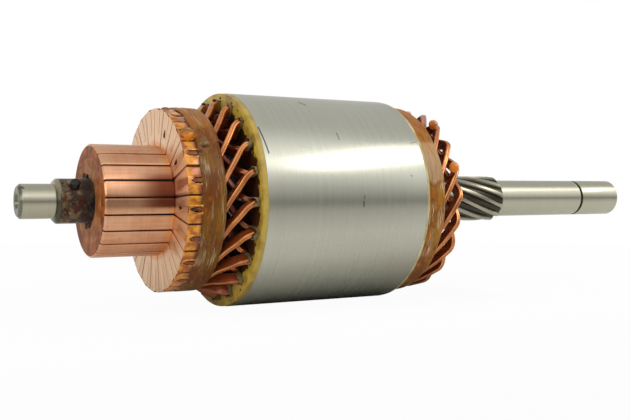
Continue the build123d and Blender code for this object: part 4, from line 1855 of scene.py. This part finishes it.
@dataclass
class Core:
    """The ground core, its two insulating discs, and the papers of the slots."""

    whole: Armature

    def build(self) -> None:
        """Builds the core's pieces."""
        finishes = self.whole.finishes
        for node, name, material, slot, bevel in (
            ("lamination_stack", "core_ground", finishes.core, "core_steel", 0.25 * MM),
            ("commutator_end_insulator", "yellow_disc", finishes.fibre, "fibre_yellow", 0.3 * MM),
            ("drive_end_insulator", "cream_disc", finishes.cream, "fibre_cream", 0.3 * MM),
            ("slot_liners", "slot_papers", finishes.soaked_paper, "slot_paper", 0.03 * MM),
            ("layer_separators", "separator_papers", finishes.soaked_paper, "separator_paper", 0.03 * MM),
        ):
            self.whole.keep(dress_copy(node, name, bevel), material, slot)
        self.cuffs()
        # Painted shade for pinholes in the yellow disc.
        pinholes = [
            (38.2, 96.0, 0.45, 0.6),
            (38.0, 112.0, 0.4, 0.45),
            (37.6, 121.0, 0.3, 0.4),
            (38.3, 236.0, 0.4, 0.5),
        ]
        holes = face_ovals("disc_pinholes", self.whole.x_core - 2.16 * MM, pinholes, 0.04 * MM)
        self.whole.keep(holes, finishes.void, "fibre_yellow")

    def cuffs(self) -> None:
        """Torn paper round each outer wire where it enters the core.

        A cuff follows a rounded rectangle round the wire: a superellipse of power 4, whose size
        and front edge waver. It flares a little towards the front.
        """
        whole = self.whole
        draw = np.random.default_rng(33)
        angle = whole.slot_angle(np.arange(whole.slots))[:, None, None]
        turn = np.linspace(0, TURN, 40, endpoint=False)[None, None, :]
        share = np.concatenate([np.linspace(0, 1, 7), np.linspace(1, 0, 7)])[None, :, None]
        skin = np.concatenate([np.full(7, 0.16), np.zeros(7)])[None, :, None]
        phase = draw.uniform(0, TURN, (whole.slots, 1, 1))
        size = draw.uniform(0.98, 1.16, (whole.slots, 1, 1))
        # The two cuffs that face the photo's camera stand wide open.
        size[11], size[10] = 1.42, 1.2
        ragged = 0.35 * np.sin(2 * turn + phase) + 0.22 * np.sin(5 * turn + 2 * phase)
        ragged = ragged + 0.12 * np.sin(11 * turn + phase)
        length = (1.9 + 1.1 * ragged) * draw.uniform(0.6, 1.25, (whole.slots, 1, 1))
        x = whole.x_core - 2.05 * MM - length * share * MM
        flare = size * (1 + 0.10 * share * (1 + np.sin(3 * turn + phase)))
        round_part = np.abs(np.cos(turn)) ** 4 + np.abs(np.sin(turn)) ** 4
        reach = round_part**-0.25
        side = (1.16 * flare + skin) * reach * np.cos(turn) * MM
        rise = (2.16 * flare + skin) * reach * np.sin(turn) * MM
        middle = 34.95 * MM
        cuffs = grid_mesh("paper_cuffs", around(x, middle + rise, angle + side / middle))
        whole.keep(cuffs, whole.finishes.paper, "slot_paper")


@dataclass
class Studio:
    """Floor, white surroundings, lamps and the camera at the photograph's angle."""

    middle_x: float = 0.10
    floor_z: float = -40.3 * MM
    floor_white: float = 0.96
    floor_pale: Colour = Colour(0.93, 0.93, 0.92)
    # Colour of the floor's painted shadow and painted shade.
    floor_painted_shade: Colour = Colour(0.42, 0.42, 0.40)
    lens: float = 51.27
    camera_place: tuple[float, float, float] = (-0.068669, -0.311742, 0.004286)
    azimuth: float = 29.77
    tilt: float = 1.36
    lamps: tuple[tuple[str, tuple[float, float, float], tuple[float, float], float], ...] = (
        ("key", (0.95, -0.75, 0.84), (1.4, 0.36), 3.8),
        ("fill", (-0.9, -0.35, 0.35), (0.5, 0.5), 1.2),
    )
    room: tuple[tuple[float, float], ...] = (
        (-180.0, 0.90),
        (-150.0, 0.80),
        (-90.0, 0.70),
        (-20.0, 0.50),
        (-8.0, 0.31),
        (0.0, 0.28),
        (8.0, 0.46),
        (17.0, 0.64),
        (26.0, 0.84),
        (36.0, 1.05),
        (50.0, 1.15),
        (66.0, 0.88),
        (78.0, 0.64),
        (90.0, 0.60),
        (150.0, 0.60),
        (172.0, 0.90),
        (180.0, 0.90),
    )

    def build(self) -> None:
        """Builds the stage, the lamps and the camera."""
        self.floor()
        self.surroundings()
        for name, place, size, power in self.lamps:
            self.lamp(name, place, size, power)
        self.camera()

    def floor(self) -> None:
        """A wide pale floor that the camera sees as white but for the object's faint shadow.

        It grows out of the backdrop: far from the object it is pure white, so no edge shows. What the metal
        mirrors of it is pale, but it carries a painted shadow under the core and painted shade far out on
        the camera's side.
        """
        share = np.linspace(-3, 3, 7)
        x, y = np.meshgrid(share, share, indexing="ij")
        floor = grid_mesh("floor", np.stack([x, y, np.full_like(x, self.floor_z)], axis=-1), Axis.NEITHER)
        n = Nodes("pale floor")
        x, y, _ = n.parts()
        # Painted shadow under the core and painted shade towards the camera, which the metal mirrors.
        beside = n.inverse(n.ridge(x, 0.085, 0.165, 0.035))
        near = n.math("MAXIMUM", n.ramp(n.math("ABSOLUTE", y), 0.006, 0.046, 0.1, 1.0), beside)
        far = n.math("SQRT", n.ramp(n.math("MULTIPLY", y, -1.0), 0.08, 0.68, 0.0, 1.0))
        tone = n.math("SUBTRACT", near, far)
        n.set(Base_Color=n.mix(tone, self.floor_painted_shade, self.floor_pale), Roughness=0.9)
        ray = n.tree.nodes.new("ShaderNodeLightPath")
        white = n.tree.nodes.new("ShaderNodeEmission")
        white.inputs[0].default_value = (1, 1, 1, 1)
        white.inputs[1].default_value = 1.0
        place = n.add("Mapping", {"Vector": n.place, "Location": (-self.middle_x, 0.0, 0.0)})
        away = n.add("VectorMath", {0: place}, operation="LENGTH", output="Value")
        clear = n.math("MAXIMUM", n.between(away, 0.20, 0.45), self.floor_white)
        blend = n.tree.nodes.new("ShaderNodeMixShader")
        n.feed(blend.inputs[0], n.math("MULTIPLY", ray.outputs["Is Camera Ray"], clear))
        n.feed(blend.inputs[1], n.shader.outputs[0])
        n.feed(blend.inputs[2], white.outputs[0])
        n.tree.links.new(blend.outputs[0], n.tree.nodes["Material Output"].inputs[0])
        floor.data.materials.append(n.material)

    def surroundings(self) -> None:
        """White to the camera and behind the object, and a graded room on the camera's side.

        The room's brightness follows the turn of a direction about X, counted from -Y upwards,
        which is what the round steel of the shaft and the core mirrors. Each row of the room holds
        that turn in degrees and a brightness.
        """
        world = bpy.data.worlds.new("studio")
        bpy.context.scene.world = world
        world.use_nodes = True
        tree = world.node_tree
        tree.nodes.clear()

        def add(kind: str, **settings: object) -> bpy.types.Node:
            """Adds a node to the world.

            Args:
                kind: Node type without the ShaderNode prefix.
                settings: Node properties.

            Returns:
                The node.
            """
            node = tree.nodes.new("ShaderNode" + kind)
            for key, value in settings.items():
                setattr(node, key, value)
            return node

        out, room, white = add("OutputWorld"), add("Background"), add("Background")
        white.inputs[0].default_value = (1, 1, 1, 1)
        blend, ray, place, split = add("MixShader"), add("LightPath"), add("TexCoord"), add("SeparateXYZ")
        tree.links.new(place.outputs["Generated"], split.inputs[0])
        toward = add("Math", operation="MULTIPLY")
        toward.inputs[1].default_value = -1.0
        tree.links.new(split.outputs[1], toward.inputs[0])
        turn = add("Math", operation="ARCTAN2")
        tree.links.new(split.outputs[2], turn.inputs[0])
        tree.links.new(toward.outputs[0], turn.inputs[1])
        share = add("MapRange")
        share.inputs["From Min"].default_value = -math.pi
        share.inputs["From Max"].default_value = math.pi
        tree.links.new(turn.outputs[0], share.inputs["Value"])
        grade = add("ValToRGB")
        ramp = grade.color_ramp
        top = max(level for _, level in self.room)
        while len(ramp.elements) < len(self.room):
            ramp.elements.new(0.5)
        for element, (angle, level) in zip(ramp.elements, self.room):
            element.position = (angle + 180.0) / 360.0
            element.color = (level / top * 0.99, level / top, level / top * 0.99, 1)
        tree.links.new(share.outputs[0], grade.inputs[0])
        tree.links.new(grade.outputs[0], room.inputs[0])
        room.inputs[1].default_value = top
        seen = add("Math", operation="MAXIMUM")
        tree.links.new(ray.outputs["Is Camera Ray"], seen.inputs[0])
        tree.links.new(ray.outputs["Is Transmission Ray"], seen.inputs[1])
        tree.links.new(seen.outputs[0], blend.inputs[0])
        tree.links.new(room.outputs[0], blend.inputs[1])
        tree.links.new(white.outputs[0], blend.inputs[2])
        tree.links.new(blend.outputs[0], out.inputs[0])

    def lamp(
        self, name: str, place: tuple[float, float, float], size: tuple[float, float], power: float
    ) -> None:
        """A soft rectangular lamp that faces the core.

        Args:
            name: Name of the lamp.
            place: Where it hangs.
            size: Its width and height.
            power: Its power in watts.
        """
        data = bpy.data.lights.new(name, "AREA")
        data.shape = "RECTANGLE"
        data.size, data.size_y = size
        data.energy = power
        lamp = bpy.data.objects.new(name, data)
        bpy.context.scene.collection.objects.link(lamp)
        lamp.location = place
        aim = np.array((self.middle_x, 0.0, 0.0)) - np.array(place)
        lamp.rotation_mode = "XYZ"
        flat = math.hypot(aim[0], aim[1])
        lamp.rotation_euler = (math.atan2(flat, -aim[2]), 0.0, math.atan2(-aim[0], aim[1]))

    def camera(self) -> None:
        """The camera at the photograph's place, lens and angle."""
        data = bpy.data.cameras.new("camera")
        data.lens = self.lens
        data.sensor_width = 36.0
        data.clip_start = 0.01
        camera = bpy.data.objects.new("camera", data)
        bpy.context.scene.collection.objects.link(camera)
        camera.location = self.camera_place
        camera.rotation_mode = "XYZ"
        camera.rotation_euler = (math.radians(90 - self.tilt), 0.0, -math.radians(self.azimuth))
        bpy.context.scene.camera = camera


def main() -> None:
    """Builds the studio and each sub-assembly in order, and reports the pieces."""
    logging.basicConfig(level=logging.INFO, format="%(name)s: %(message)s")
    bpy.context.scene.view_settings.view_transform = "Standard"
    Studio().build()
    whole = Armature(Finishes())
    for part in (Shaft(whole), Commutator(whole), Winding(whole), Bands(whole), Core(whole)):
        part.build()
    log.info("%d pieces", len(whole.made))


if __name__ == "__main__":
    main()
